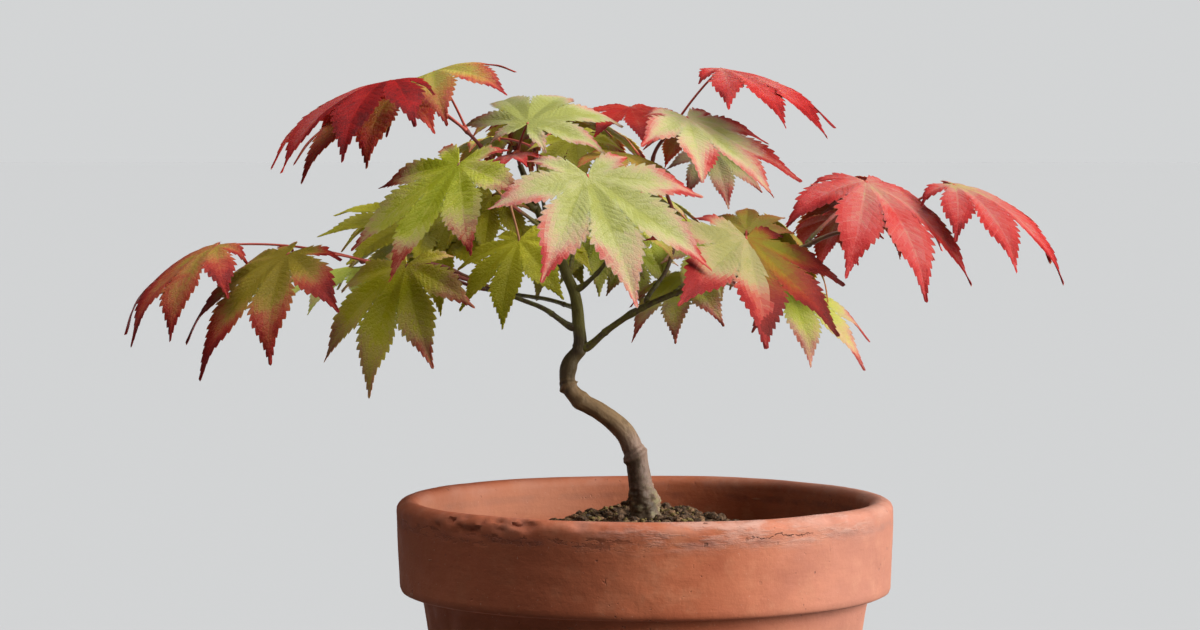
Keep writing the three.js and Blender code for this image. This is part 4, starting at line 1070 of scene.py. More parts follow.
def terracotta(settings):
    """Fired clay: mottled, pitted, with mineral bloom along the rim and a hairline crack under it, and
    painted shade and light
    """
    f = Finish("terracotta")
    place = f.place()
    x, y, z = f.add("ShaderNodeSeparateXYZ", Vector=place).outputs
    across = f.add("ShaderNodeCombineXYZ", X=x, Y=y).outputs["Vector"]
    radius = f.add("ShaderNodeVectorMath", {"operation": "LENGTH"}, Vector=across).outputs["Value"]
    inside = f.times(f.range(radius, 0.0655, 0.0615), f.range(z, 0.100, 0.104))
    outside = f.math("SUBTRACT", 1.0, inside)
    nearer = f.math("LESS_THAN", y, 0.0)
    deep_clay_and_shade, bloom_and_highlight = settings.deep_clay, settings.bloom_and_highlight

    # Mottling
    broad = f.noise(place, 24, 3, 0.6, (1, 1, 1.6))
    fine = f.noise(place, 150, 5, 0.62)
    colour = f.mix(f.range(broad, 0.36, 0.64), deep_clay_and_shade, settings.clay)
    colour = f.coat(colour, settings.pale_clay, f.range(fine, 0.46, 0.72), 0.40)
    colour = f.coat(colour, deep_clay_and_shade, f.range(f.noise(place, 480, 3, 0.6), 0.56, 0.68), 0.28)

    # Bloom along the rim, and painted shade under the lip and the collar
    front = f.times(f.range(x, -0.030, 0.010), f.range(x, 0.069, 0.052))
    band = f.times(f.range(z, 0.1185, 0.1235), f.times(front, nearer))
    smear = f.range(f.noise(place, 90, 6, 0.7, (0.7, 0.7, 3.2)), 0.42, 0.62)
    colour = f.coat(colour, bloom_and_highlight, band, smear, 0.62)
    colour = f.coat(
        colour, bloom_and_highlight, f.range(z, 0.1225, 0.1265), f.range(f.noise(place, 70, 5, 0.65), 0.40, 0.66), 0.30
    )
    # Painted shade in a band under the lip
    under_lip = f.times(f.range(z, 0.1205, 0.1220), f.range(z, 0.1238, 0.1226))
    colour = f.coat(colour, UNDER_LIP_SHADE, under_lip, f.range(f.noise(place, 60, 4, 0.6), 0.44, 0.60), 0.45)
    # Painted shade under the collar
    colour = f.coat(colour, deep_clay_and_shade, f.range(z, 0.1045, 0.1005), f.range(z, 0.094, 0.1005), 0.5)

    # Pits, and the chips under the lip at the left
    pits = f.times(
        f.range(f.noise(place, 520, 2, 0.4), 0.69, 0.75), f.range(f.noise(place, 45, 2), 0.46, 0.60)
    )
    colour = f.coat(colour, PIT, pits, 0.8)
    ragged = f.times(
        f.times(f.range(z, 0.1196, 0.1212), f.range(z, 0.1240, 0.1228)),
        f.times(f.range(x, 0.010, -0.020), nearer),
        f.range(f.noise(place, 300, 5, 0.7, (0.55, 0.55, 1.5)), 0.52, 0.56),
    )
    colour = f.coat(colour, CHIP_SHADOW, ragged, 0.60)

    # Painted shade at the left of the outside, a painted highlight at its right, and painted light at the
    # left of the inner wall
    # Painted shade: the outside darkens towards the left
    colour = f.coat(colour, deep_clay_and_shade, f.times(f.range(x, 0.015, -0.050), outside), 0.55)
    # Painted highlight: the outside pales towards the right
    colour = f.coat(colour, bloom_and_highlight, f.times(f.range(x, 0.010, 0.062), outside), 0.34)
    # Painted light on the upper left of the inner wall
    colour = f.coat(
        colour, INNER_WALL_LIGHT, f.times(inside, f.range(x, 0.010, -0.030)), f.range(z, 0.112, 0.120), 0.65
    )

    # Nicks, grains and the crack
    nicks = f.range(f.noise(place, 260, 2, 0.5, (0.5, 0.5, 1.5)), 0.74, 0.77)
    colour = f.coat(colour, NICK, nicks, 0.35)
    colour = f.coat(colour, GRAIN, f.range(f.noise(place, 1400, 1, 0.4), 0.74, 0.80), 0.30)
    crack = hairline(f, place, x, z, nearer)
    colour = f.coat(colour, CRACK_SHADOW, crack, 0.70)

    # Relief, from the finest grain to what is sunk
    normal = f.bump(f.noise(place, 900, 4, 0.65), 0.30, 0.00025)
    normal = f.bump(f.noise(place, 170, 4, 0.6), 0.35, 0.0007, normal)
    normal = f.bump(f.noise(place, 230, 3, 0.55, (0.45, 0.45, 2.2)), 0.20, 0.0006, normal)
    normal = f.bump(f.times(band, smear), 0.45, 0.0005, normal)
    sunk = f.math("ADD", f.math("ADD", pits, ragged), f.times(crack, 2.0))
    normal = f.bump(f.math("SUBTRACT", f.times(nicks, 0.5), sunk), 0.7, 0.0004, normal)
    return f.finish(colour, f.range(fine, 0.3, 0.7, 0.72, 0.93), normal)


def soil_finish(name, dark, light, scale=420.0):
    """Crumbly earth between two colours"""
    f = Finish(name)
    place = f.place()
    share = f.range(f.noise(place, scale, 5, 0.65), 0.35, 0.68)
    normal = f.bump(f.noise(place, scale * 2.4, 4, 0.7), 0.6, 0.0005)
    return f.finish(f.mix(share, dark, light), f.range(share, 0, 1, 0.95, 0.75), normal)


def plain_finish(name, colour, roughness, grain, depth):
    """One base colour, with roughness and relief from nodes"""
    f = Finish(name)
    place = f.place()
    pattern = f.noise(place, grain, 3, 0.6)
    return f.finish(
        tuple(colour), f.range(pattern, 0.3, 0.7, roughness - 0.08, roughness + 0.08),
        f.bump(pattern, 0.35, depth)
    )


BARK_FURROW = (0.055, 0.036, 0.018)
# Painted shade on the trunk's left and under its rings, with dirt at its foot
BARK_SHADE_AND_DIRT = (0.050, 0.029, 0.012)
FORK_BARK = (0.075, 0.050, 0.018)
BARK_PORE = (0.24, 0.19, 0.12)


def trunk_bark(settings):
    """Bark that turns from pale cork at the foot to olive at the leader"""
    f = Finish("trunk_bark")
    place = f.place()
    z = f.add("ShaderNodeSeparateXYZ", Vector=place).outputs["Z"]
    wander = f.math("ADD", z, f.times(f.math("SUBTRACT", f.noise(place, 120, 3), 0.5), 0.014))
    colour = f.mix(f.range(wander, 0.126, 0.133), settings.foot_bark, settings.low_bark)
    colour = f.mix(f.range(wander, 0.138, 0.152), colour, settings.middle_bark)
    colour = f.mix(f.range(wander, 0.160, 0.174), colour, settings.young_bark)
    colour = f.coat(colour, settings.bough_bark, f.range(z, 0.200, 0.222), 0.8)
    fork = f.times(f.range(wander, 0.160, 0.165), f.range(wander, 0.177, 0.170))
    colour = f.coat(colour, FORK_BARK, fork, 0.75)
    streaks = f.range(f.noise(place, 520, 4, 0.65, (1, 1, 0.28)), 0.48, 0.68)
    colour = f.coat(colour, BARK_FURROW, streaks, 0.38)

    # Lichen, thick at the foot
    flecks = f.range(f.noise(place, 900, 3, 0.6), 0.58, 0.66)
    low = f.range(z, 0.150, 0.124)
    colour = f.coat(colour, settings.lichen, flecks, f.math("ADD", f.times(low, 0.75), 0.10))
    crust = f.times(f.range(f.noise(place, 420, 3, 0.6), 0.47, 0.60), f.range(z, 0.134, 0.126))
    colour = f.coat(colour, settings.lichen, crust, 0.65)

    # Painted shade, and dirt at the foot, where the mesh says so
    shade_and_dirt = f.add("ShaderNodeAttribute", {"attribute_name": "shade_and_dirt"}).outputs["Fac"]
    shade_and_dirt = f.times(shade_and_dirt, f.range(f.noise(place, 380, 4, 0.65), 0.25, 0.55, 0.55, 1.0))
    colour = f.coat(colour, BARK_SHADE_AND_DIRT, shade_and_dirt, 0.90)
    normal = f.bump(f.noise(place, 1100, 4, 0.65, (1, 1, 0.4)), 0.5, 0.00028)
    normal = f.bump(flecks, 0.35, 0.0002, normal)
    return f.finish(colour, f.range(streaks, 0, 1, 0.62, 0.80), normal)


def bough_finish(settings):
    """Dark bark that turns to a red shoot where the piece's own attribute says so"""
    f = Finish("bough_bark")
    place = f.place()
    youth = f.add("ShaderNodeAttribute", {"attribute_name": "youth"}).outputs["Fac"]
    streaks = f.noise(place, 620, 4, 0.6)
    uneven = f.math("ADD", youth, f.times(f.math("SUBTRACT", streaks, 0.5), 0.35))
    colour = f.mix(f.range(streaks, 0.35, 0.68), settings.young_bark, settings.bough_bark)
    colour = f.mix(f.range(uneven, 0.30, 0.95), colour, settings.shoot)
    colour = f.coat(colour, BARK_PORE, f.range(f.noise(place, 1300, 2, 0.5), 0.64, 0.70), 0.5)
    relief = f.bump(f.noise(place, 1500, 3, 0.6), 0.35, 0.0002)
    return f.finish(colour, f.range(streaks, 0.3, 0.7, 0.42, 0.6), relief)


def blended(stops, share):
    """The colour at a share of the way through a row of colours"""
    places = np.linspace(0, 1, len(stops))
    return tuple(float(np.interp(share, places, [stop[k] for stop in stops])) for k in range(3))


GLOW = 0.7
LEFT_SIDE = math.radians(5)
LEFT_SIDE_SWAY = math.radians(14)


def tint_materials(steps):
    """Each row of tints as base colours, with the blade's satin and fine veins from nodes"""
    rows = {}
    for row, stops in TINT_ROWS.items():
        rows[row] = []
        for step in range(steps):
            f = Finish(f"{row}_leaf_{step}")
            f.shader.inputs["Specular IOR Level"].default_value = 0.18
            f.shader.inputs["Subsurface Weight"].default_value = GLOW
            f.shader.inputs["Subsurface Radius"].default_value = (1.0, 0.8, 0.3)
            f.shader.inputs["Subsurface Scale"].default_value = 0.0006
            place = f.place()
            mesh_veins = f.add(
                "ShaderNodeTexVoronoi", {"feature": "DISTANCE_TO_EDGE"}, Vector=place, Scale=950.0
            ).outputs["Distance"]
            normal = f.bump(f.range(mesh_veins, 0.0, 0.25), 0.35, 0.00015)
            rough = f.range(f.noise(place, 260, 3), 0.3, 0.7, 0.46, 0.64)
            rows[row].append(f.finish(blended(stops, step / (steps - 1)), rough, normal))
    return rows


# Operators
HOLES = 3
HOLES_OUT = 0.022


class MAPLE_OT_pot(bpy.types.Operator):
    """Turns the clay pot from its profile, drills its drain holes and wears its lip"""

    bl_idname = "maple.pot"
    bl_label = "Pot"

    def profile(self, s):
        """Stations of [radius, height], close together where the pot shows"""
        edge = 0.0015
        lip = 0.0035
        middle = (s.rim_radius + s.lip_inner_radius) / 2
        half = (s.rim_radius - s.lip_inner_radius) / 2
        corners = [
            ((0, 0), 0.006), ((s.foot_radius - edge, 0), 0.0008),
            ((s.foot_radius, edge), 0.003),
            ((s.body_top_radius, s.collar_foot - 0.0005), 0.0006),
            ((s.body_top_radius + 0.0006, s.collar_foot), 0.001),
            ((s.collar_foot_radius - edge, s.collar_foot), 0.0005),
            ((s.collar_foot_radius - 0.0004, s.collar_foot + 0.0005), 0.0005),
            ((s.collar_foot_radius, s.collar_foot + edge), 0.0011),
            ((s.rim_radius, s.height - lip), 0.0005),
        ]
        for step in range(1, 12):
            turn = math.pi * step / 12
            height = s.height - lip + lip * math.sin(turn) ** 0.8
            corners.append(((middle + half * math.cos(turn), height), 0.0006))
        corners += [
            ((s.lip_inner_radius, s.height - lip), 0.0012), ((0.0622, s.collar_foot + 0.008), 0.0012),
            ((0.062, s.collar_foot + 0.006), 0.002), ((0.057, s.collar_foot - 0.004), 0.006),
            ((0.039, s.floor_thickness + 0.002), 0.001), ((0.037, s.floor_thickness), 0.006),
            ((0, s.floor_thickness), 1),
        ]
        stations = []
        for (start, gap), (end, _) in zip(corners, corners[1:]):
            steps = max(1, round(math.dist(start, end) / gap))
            across, up = end[0] - start[0], end[1] - start[1]
            stations += [(start[0] + across * k / steps, start[1] + up * k / steps) for k in range(steps)]
        return stations + [corners[-1][0]]

    def wear(self, mesh, s):
        """Slow waves from the wheel, grain on the outside, and chips along the lip's outer edge"""
        count = len(mesh.vertices)
        at = np.empty(count * 3)
        mesh.vertices.foreach_get("co", at)
        at = at.reshape(-1, 3)
        radius = np.maximum(np.hypot(at[:, 0], at[:, 1]), 1e-6)
        outward = np.column_stack([at[:, 0] / radius, at[:, 1] / radius, np.zeros(count)])
        heights = [0, s.collar_foot - 0.0006, s.collar_foot, s.height]
        wall = np.interp(at[:, 2], heights, [0.0445, 0.0625, 0.0625, 0.0665])
        outside = smooth(s.foot_radius, s.foot_radius + 0.0004, radius) * (radius > wall)
        waves = 0.00022 * layered_noise(at * [18, 18, 60], 3) + 0.00007 * layered_noise(at * 260, 5)
        at += outward * (waves * outside)[:, None]
        turn = np.degrees(np.arctan2(at[:, 1], at[:, 0]))
        worn = (
            0.25
            + 1.0 * smooth(-152, -140, turn) * (1 - smooth(-108, -88, turn))
            + 0.35 * smooth(-70, -50, turn) * (1 - smooth(-30, -10, turn))
        )
        lip = smooth(s.height - 0.0062, s.height - 0.0030, at[:, 2]) * smooth(0.0660, 0.0695, radius)
        chips = np.clip(layered_noise(at * [330, 330, 420], 11) - 0.18, 0, 1) * 1.6
        bite = s.wear * worn * lip * np.minimum(chips, 1)
        at -= outward * bite[:, None]
        at[:, 2] -= bite * 0.7 * smooth(s.height - 0.0030, s.height, at[:, 2])
        top = smooth(s.height - 0.003, s.height, at[:, 2])
        at[:, 2] -= top * (0.00035 * (1 + layered_noise(at * [40, 40, 0], 21)) * 0.5)
        mesh.vertices.foreach_set("co", at.ravel())
        mesh.update()

    def turned(self, stations):
        """The pot's wall, drawn out from one point and spun about the axis"""
        bpy.ops.object.select_all(action="DESELECT")
        bpy.ops.mesh.primitive_plane_add(size=0.001)
        pot = bpy.context.object
        pot.name = pot.data.name = "clay_pot"
        bpy.ops.object.mode_set(mode="EDIT")
        bpy.ops.mesh.select_all(action="SELECT")
        bpy.ops.mesh.merge(type="CENTER")
        for before, after in zip(stations, stations[1:]):
            move = (after[0] - before[0], 0, after[1] - before[1])
            bpy.ops.mesh.extrude_region_move(TRANSFORM_OT_translate={"value": move})
        bpy.ops.mesh.select_all(action="SELECT")
        bpy.ops.mesh.spin(steps=320, angle=2 * math.pi, center=(0, 0, 0), axis=(0, 0, 1))
        bpy.ops.mesh.select_all(action="SELECT")
        bpy.ops.mesh.remove_doubles(threshold=1e-6)
        bpy.ops.mesh.normals_make_consistent(inside=False)
        bpy.ops.object.mode_set(mode="OBJECT")
        return pot

    def drill(self, pot, s):
        """The drain holes through the floor"""
        drills = []
        for k in range(HOLES):
            turn = math.pi / 2 + k * 2 * math.pi / HOLES
            bpy.ops.object.select_all(action="DESELECT")
            bpy.ops.mesh.primitive_cylinder_add(
                vertices=48, radius=s.drain_hole_radius, depth=s.floor_thickness * 3,
                location=(HOLES_OUT * math.cos(turn), HOLES_OUT * math.sin(turn), 0),
            )
            drills.append(bpy.context.object)
        for drill in drills:
            bpy.context.view_layer.objects.active = pot
            cut = pot.modifiers.new("drain hole", "BOOLEAN")
            cut.operation, cut.object, cut.solver = "DIFFERENCE", drill, "EXACT"
            bpy.ops.object.modifier_apply(modifier=cut.name)
            bpy.data.objects.remove(drill)

    def execute(self, context):
        s = context.scene.maple_pot
        pot = self.turned(self.profile(s))
        self.drill(pot, s)
        self.wear(pot.data, s)
        pot.data.materials.clear()
        pot.data.materials.append(terracotta(s))
        pot.data.polygons.foreach_set("use_smooth", np.full(len(pot.data.polygons), True))
        pot.data.set_sharp_from_angle(angle=math.radians(50))
        if len(pot.data.polygons) < 20000:
            raise RuntimeError("The pot's wall came out too coarse")
        settle(pot, "terracotta", "pot")
        return {"FINISHED"}


# The soil's clods, as in the source: a seeded height for each place of each ring
SOIL_SIDES = 32
SOIL_RINGS = [54, 47.5, 41, 35, 29.5, 24.5, 19.5, 14.5]
SOIL_SLOPE = 1.15
SOIL_WAVE = 0.3
SOIL_CLOD = 1.6
SOIL_CLOD_SINK = 0.3
SOIL_SEED = 7
SOIL_HEAP = dict(x=2, y=14, height=3.2, reach=8)


def clod_heights():
    """A row of heights for each ring, from the wall inwards, in millimetres"""
    draw = seeded(SOIL_SEED)
    rows = [np.zeros(SOIL_SIDES)]
    for radius in SOIL_RINGS:
        turns = ring_angles(SOIL_SIDES)
        wave = SOIL_WAVE * (np.sin(turns * 3 + radius) + np.sin(turns * 7 - radius * 0.6))
        x, y = radius * np.cos(turns) - SOIL_HEAP["x"], radius * np.sin(turns) - SOIL_HEAP["y"]
        away = np.hypot(x, y) / SOIL_HEAP["reach"]
        heap = SOIL_HEAP["height"] * np.exp(-(away**2) / 2)
        rows.append(wave + heap + SOIL_CLOD * np.array([draw() - SOIL_CLOD_SINK for _ in turns]))
    return np.array([*rows, np.zeros(SOIL_SIDES)])


CLODS = clod_heights()


def soil_height(x, y, s):
    """Height of the mound's surface in metres"""
    radius = np.hypot(x, y)
    out = np.clip(SOIL_SLOPE * (radius - s.flat_radius) / (s.edge_radius - s.flat_radius), 0, 1)
    height = s.crown + (s.edge - s.crown) * (1 - np.cos(math.pi * out)) / 2
    places = np.array([s.edge_radius, *(ring * MM for ring in SOIL_RINGS), s.flat_radius])
    row = np.interp(-radius, -places, np.arange(len(places)))
    side = (np.arctan2(y, x) / (2 * math.pi) % 1) * SOIL_SIDES
    low, near = np.floor(row).astype(int), np.floor(side).astype(int) % SOIL_SIDES
    high, far = np.minimum(low + 1, len(places) - 1), (near + 1) % SOIL_SIDES
    inwards, onwards = smooth(0, 1, row - low), smooth(0, 1, side - np.floor(side))
    clods = (1 - inwards) * ((1 - onwards) * CLODS[low, near] + onwards * CLODS[low, far])
    clods = clods + inwards * ((1 - onwards) * CLODS[high, near] + onwards * CLODS[high, far])
    spots = np.column_stack([x, y, np.zeros_like(x)])
    lumps = 0.0003 * layered_noise(spots * 260, 31) + 0.0005 * layered_noise(spots * 620, 33)
    return height + clods * MM + lumps - 0.0003


class MAPLE_OT_soil(bpy.types.Operator):
    """Fills the pot with a crumbly mound and strews it with loose crumbs, grit and moss"""

    bl_idname = "maple.soil"
    bl_label = "Soil"

    def mound(self, s):
        sides, rings = 240, 90
        turns = ring_angles(sides)
        corners = [(0, 0, float(soil_height(np.zeros(1), np.zeros(1), s)[0]))]
        wall = s.edge_radius - 0.0002
        for k in range(1, rings + 1):
            x, y = wall * k / rings * np.cos(turns), wall * k / rings * np.sin(turns)
            corners += list(zip(x, y, soil_height(x, y, s)))
        low = [(0.0617, 0.1077), (0.0567, 0.0977), (0.0387, 0.0113), (0.0367, 0.0093)]
        for radius, height in low:
            corners += [(radius * math.cos(turn), radius * math.sin(turn), height) for turn in turns]
        faces = [(0, 1 + k, 1 + (k + 1) % sides) for k in range(sides)]
        for ring in range(rings + len(low) - 1):
            a, b = 1 + ring * sides, 1 + (ring + 1) * sides
            faces += [(a + k, b + k, b + (k + 1) % sides, a + (k + 1) % sides) for k in range(sides)]
        last = 1 + (rings + len(low) - 1) * sides
        faces.append(tuple(last + (sides - 1 - k) for k in range(sides)))
        return new_piece("soil_mound", corners, faces, [soil_finish("moist_soil", s.humus, s.dry_crumb)])

    def crumb_shape(self):
        """One rough lump, modelled once"""
        bpy.ops.object.select_all(action="DESELECT")
        bpy.ops.mesh.primitive_ico_sphere_add(subdivisions=2, radius=1)
        lump = bpy.context.object
        corners = np.array([v.co for v in lump.data.vertices])
        faces = [tuple(face.vertices) for face in lump.data.polygons]
        bpy.data.objects.remove(lump)
        return corners, faces

    def strew(self, name, count, sizes, finish, seed, reach, sink=0.3, centre=(0, 0), angular=0.34):
        """Crumbs strewn within a reach of a centre, each turned and roughened in its own way"""
        draw = random.Random(seed)
        shape, shape_faces = self.crumb_shape()
        s = bpy.context.scene.maple_soil
        corners, faces = [], []
        while len(corners) < count * len(shape):
            k = len(corners) // len(shape)
            radius = reach * math.sqrt(draw.random())
            turn = draw.uniform(0, 2 * math.pi)
            x, y = centre[0] + radius * math.cos(turn), centre[1] + radius * math.sin(turn)
            if math.hypot(x, y) > s.edge_radius - 0.0025:
                continue
            size = sizes[0] + (sizes[1] - sizes[0]) * draw.random() ** 2.2
            rough = 1 + angular * noise(shape * 1.1 + k * 7.1, seed)[:, None]
            rough = rough + 0.18 * noise(shape * 2.9 + k * 3.3, seed + 1)[:, None]
            stretch = np.array([draw.uniform(0.8, 1.5), draw.uniform(0.7, 1.1), draw.uniform(0.5, 0.9)])
            lump = shape * rough * size * stretch
            spin, lean = draw.uniform(0, 6.28), draw.uniform(-0.6, 0.6)
            across, along = math.cos(spin), math.sin(spin)
            turned = np.array([[across, -along, 0], [along, across, 0], [0, 0, 1]])
            level, rise = math.cos(lean), math.sin(lean)
            leaned = np.array([[1, 0, 0], [0, level, -rise], [0, rise, level]])
            lump = lump @ (turned @ leaned).T
            ground = float(soil_height(np.array([x]), np.array([y]), s)[0])
            lump += (x, y, ground + size * (0.45 - sink))
            corners += [tuple(corner) for corner in lump]
            start = k * len(shape)
            faces += [tuple(start + corner for corner in face) for face in shape_faces]
        return new_piece(name, corners, faces, [finish], smooth_shading=False)

    def execute(self, context):
        s = context.scene.maple_soil
        settle(self.mound(s), "potting_soil", "soil")
        everywhere = (s.edge_radius - 0.003, (0, 0))
        by_trunk = (0.018, (-0.002, 0.0))
        dark = soil_finish("dark_crumbs", s.humus, s.dry_crumb, 900)
        brown = soil_finish("brown_crumbs", s.dry_crumb, tuple(1.7 * c for c in s.dry_crumb), 900)
        grit = plain_finish("grit", s.grit, 0.75, 900, 0.0003)
        moss = soil_finish("moss", tuple(0.35 * c for c in s.moss), s.moss, 1300)
        kinds = [
            ("dark_crumbs", s.crumbs, (0.0003, 0.0017), dark, everywhere),
            ("brown_crumbs", s.crumbs * 2 // 3, (0.0003, 0.0013), brown, everywhere),
            ("grit_grains", 160, (0.0004, 0.0009), grit, everywhere),
            ("moss_crumbs", 330, (0.0002, 0.0009), moss, by_trunk),
        ]
        for seed, (name, count, sizes, finish, (reach, centre)) in enumerate(kinds, 1):
            settle(self.strew(name, count, sizes, finish, seed, reach, centre=centre), "potting_soil")
        return {"FINISHED"}


# Rings round the trunk: share of its length, height and width in millimetres
TRUNK_RINGS = [
    (0.155, 0.48, 0.7), (0.166, 0.22, 0.4), (0.174, -0.14, 0.6), (0.405, 0.34, 0.40),
    (0.416, 0.20, 0.35), (0.51, 0.25, 0.9), (0.08, 0.10, 0.4),
]
# Dark bands round it, painted shade under the rings and dirt at the foot: share of its length, width in
# millimetres and strength
SHADE_AND_DIRT_BANDS = [(0.142, 1.1, 0.7), (0.395, 0.7, 0.6), (0.412, 0.35, 0.7), (0.525, 3.4, 0.95), (0.02, 4.2, 1.0)]
# Old branch stubs: share of its length, reach in millimetres and the side they are on
STUBS = [(0.408, 0.7, 1.5 * math.pi), (0.405, 0.6, 0.5 * math.pi)]
STUB_HEIGHT = 0.55
STUB_TURN = 0.35
BAND_TILT = 0.9
BURR_HEIGHT, BURR_REACH = 128.5, 3.2
KNOB_HEIGHT, KNOB_REACH, KNOB_SIZE = 126.5, 3.4, 1.3
FLARE, FLARE_REACH, TOES = 0.26, 4.5, 3


class MAPLE_OT_trunk(bpy.types.Operator):
    """Grows the trunk: flared foot with its corky burr, bend, node rings and wrinkled bark"""

    bl_idname = "maple.trunk"
    bl_label = "Trunk"

    def relief(self, s, trunk, shares, heights, angles, around):
        """The radius of each ring at each of its sides"""
        length = trunk.path.length
        low = np.clip(1 - (heights - TRUNK_FOOT) / FLARE_REACH, 0, 1.3)[:, None]
        rings = trunk.radius(shares)[:, None] * (1 + FLARE * low**2 * (1 + 0.6 * np.cos(TOES * angles)))
        age = 1 - smooth(0.0, 0.8, shares)[:, None]
        rings = rings + s.relief / MM * (0.35 + 0.65 * age) * layered_noise(around * [2.6, 2.6, 0.22], 41, 4)
        lumps = smooth(-0.4, 0.6, layered_noise(around * [1.2, 1.2, 0.2], 43))
        burr = hill(heights - BURR_HEIGHT, BURR_REACH)[:, None] * (0.35 + 0.65 * lumps)
        rings = rings + burr * (0.25 + 0.75 * layered_noise(around * [2.4, 2.4, 0.9], 45, 4))
        knobs = np.clip(layered_noise(around * [1.9, 1.9, 0.7], 47, 3) - 0.05, 0, 1)
        rings = rings + KNOB_SIZE * knobs * hill(heights - KNOB_HEIGHT, KNOB_REACH)[:, None]
        for place, height, width in TRUNK_RINGS:
            tilt = BAND_TILT * np.cos(angles + place * 30)[None]
            rings = rings + height * hill((shares[:, None] - place) * length + tilt, width)
        for place, reach, side in STUBS:
            away = np.angle(np.exp(1j * (angles - side))) / STUB_TURN
            along = (shares[:, None] - place) * length / reach
            rings = rings + STUB_HEIGHT * np.exp(-(along**2) - (away**2)[None])
        return rings

    def shades_and_dirt(self, length, shares, angles, around):
        """How dark the bark is: painted shade towards the left and the front, strongest low down, and in
        bands of painted shade under the rings and dirt at the foot
        """
        uneven = 0.25 * noise(around * [0.9, 0.9, 0.25], 51)
        # Painted shade where the bark faces left and towards the front
        leftwards = smooth(-0.90, 0.45, np.sin(angles) + uneven)
        rising = smooth(0.10, 0.24, shares)[:, None]
        facing = smooth(-1.0, -0.2, 0.7 * np.sin(angles) - 0.7 * np.cos(angles) + uneven)
        shades_and_dirt = 0.95 * (leftwards * (1 - 0.6 * rising) + 0.6 * facing * (1 - rising) * (1 - leftwards))
        broken = smooth(-0.9, 0.5, np.sin(angles) + 0.7 * noise(around * [1.5, 1.5, 0.8], 53))
        # Bands of painted shade under the rings, and dirt at the foot
        for place, width, depth in SHADE_AND_DIRT_BANDS:
            tilt = BAND_TILT * np.cos(angles + place * 30)
            shades_and_dirt = shades_and_dirt + depth * hill((shares[:, None] - place) * length + tilt, width) * broken
        return shades_and_dirt

    def execute(self, context):
        s = context.scene.maple_limbs
        trunk = grown_limbs()["trunk"]
        count, sides = 460, 72
        shares = np.linspace(0, 1, count)
        centres = trunk.path.along(shares)
        centres = np.vstack([centres[0] - (0, 0, 2.2), centres[0] - (0, 0, 1.1), centres])
        shares = np.concatenate([[0, 0], shares])
        angles = ring_angles(sides)
        around = places_around(angles, shares * trunk.path.length)
        corners, faces = tube(centres, self.relief(s, trunk, shares, centres[:, 2], angles, around))
        piece = new_piece("trunk_bark", corners * MM, faces, [trunk_bark(s)])
        lay_values(piece, "shade_and_dirt", self.shades_and_dirt(trunk.path.length, shares, angles, around))
        lay_bark_map(piece, len(centres), sides, 3)
        settle(piece, "bark", "trunk")
        return {"FINISHED"}


NODE_SPACING = 13.0
FIRST_NODE = 9
COLLAR_SWELL, COLLAR_REACH = 0.45, 2.2
BRANCH_YOUTH = 0.25


class MAPLE_OT_boughs(bpy.types.Operator):
    """Grows each bough from its collar to its tip, from dark bark to red shoot"""

    bl_idname = "maple.boughs"
    bl_label = "Boughs"

    def execute(self, context):
        s = context.scene.maple_limbs
        limbs = grown_limbs()
        finish = bough_finish(s)
        for index, (name, parent, _, _, _, youth) in enumerate(BOUGHS):
            limb = limbs[name]
            length = limb.path.length
            count, sides = max(24, round(length / 0.35)), 24
            shares = np.linspace(0, 1, count)
            distance = shares * length
            hidden = limbs[parent].radii[0] * 0.55
            collar = COLLAR_SWELL * np.exp(-(np.maximum(distance - hidden, 0) / COLLAR_REACH))
            around = places_around(ring_angles(sides), distance + 50 * index)
            rings = (limb.radius(shares) * s.slimness + collar)[:, None]
            rings = rings + 0.04 * layered_noise(around * [1.6, 1.6, 0.35], 61)
            for node in np.arange(FIRST_NODE, length - 3, NODE_SPACING):
                past = distance[:, None] - node
                rings = rings + 0.16 * hill(past, 0.4) + 0.07 * hill(past - 0.9, 0.8)
            corners, faces = tube(limb.path.along(shares), rings)
            piece = new_piece(f"{name}_bark", corners * MM, faces, [finish])
            from_trunk = 0.0 if parent == "trunk" else BRANCH_YOUTH
            lay_values(piece, "youth", np.repeat(from_trunk + shares**1.3 * youth, sides))
            lay_bark_map(piece, count, sides, 2)
            settle(piece, "bark", name)
        return {"FINISHED"}


class Bundle:
    """Tubes of one piece, each with its material's slot"""

    def __init__(self):
        self.corners, self.faces, self.slots, self.count = [], [], [], 0

    def add(self, centres, radii, sides, slot, across=(0, 1, 0)):
        corners, faces = tube(centres, np.repeat(radii[:, None], sides, 1), across)
        self.corners.append(corners)
        self.faces.extend(tuple(self.count + corner for corner in face) for face in faces)
        self.slots.extend([slot] * len(faces))
        self.count += len(corners)


TWIG, BUD, CORAL_STALK, GREEN_STALK = range(4)
TWIG_RADIUS = 0.56
STALK_RADIUS = 0.38
BUD_RADIUS = 0.62
BUD_LENGTH = 2.0


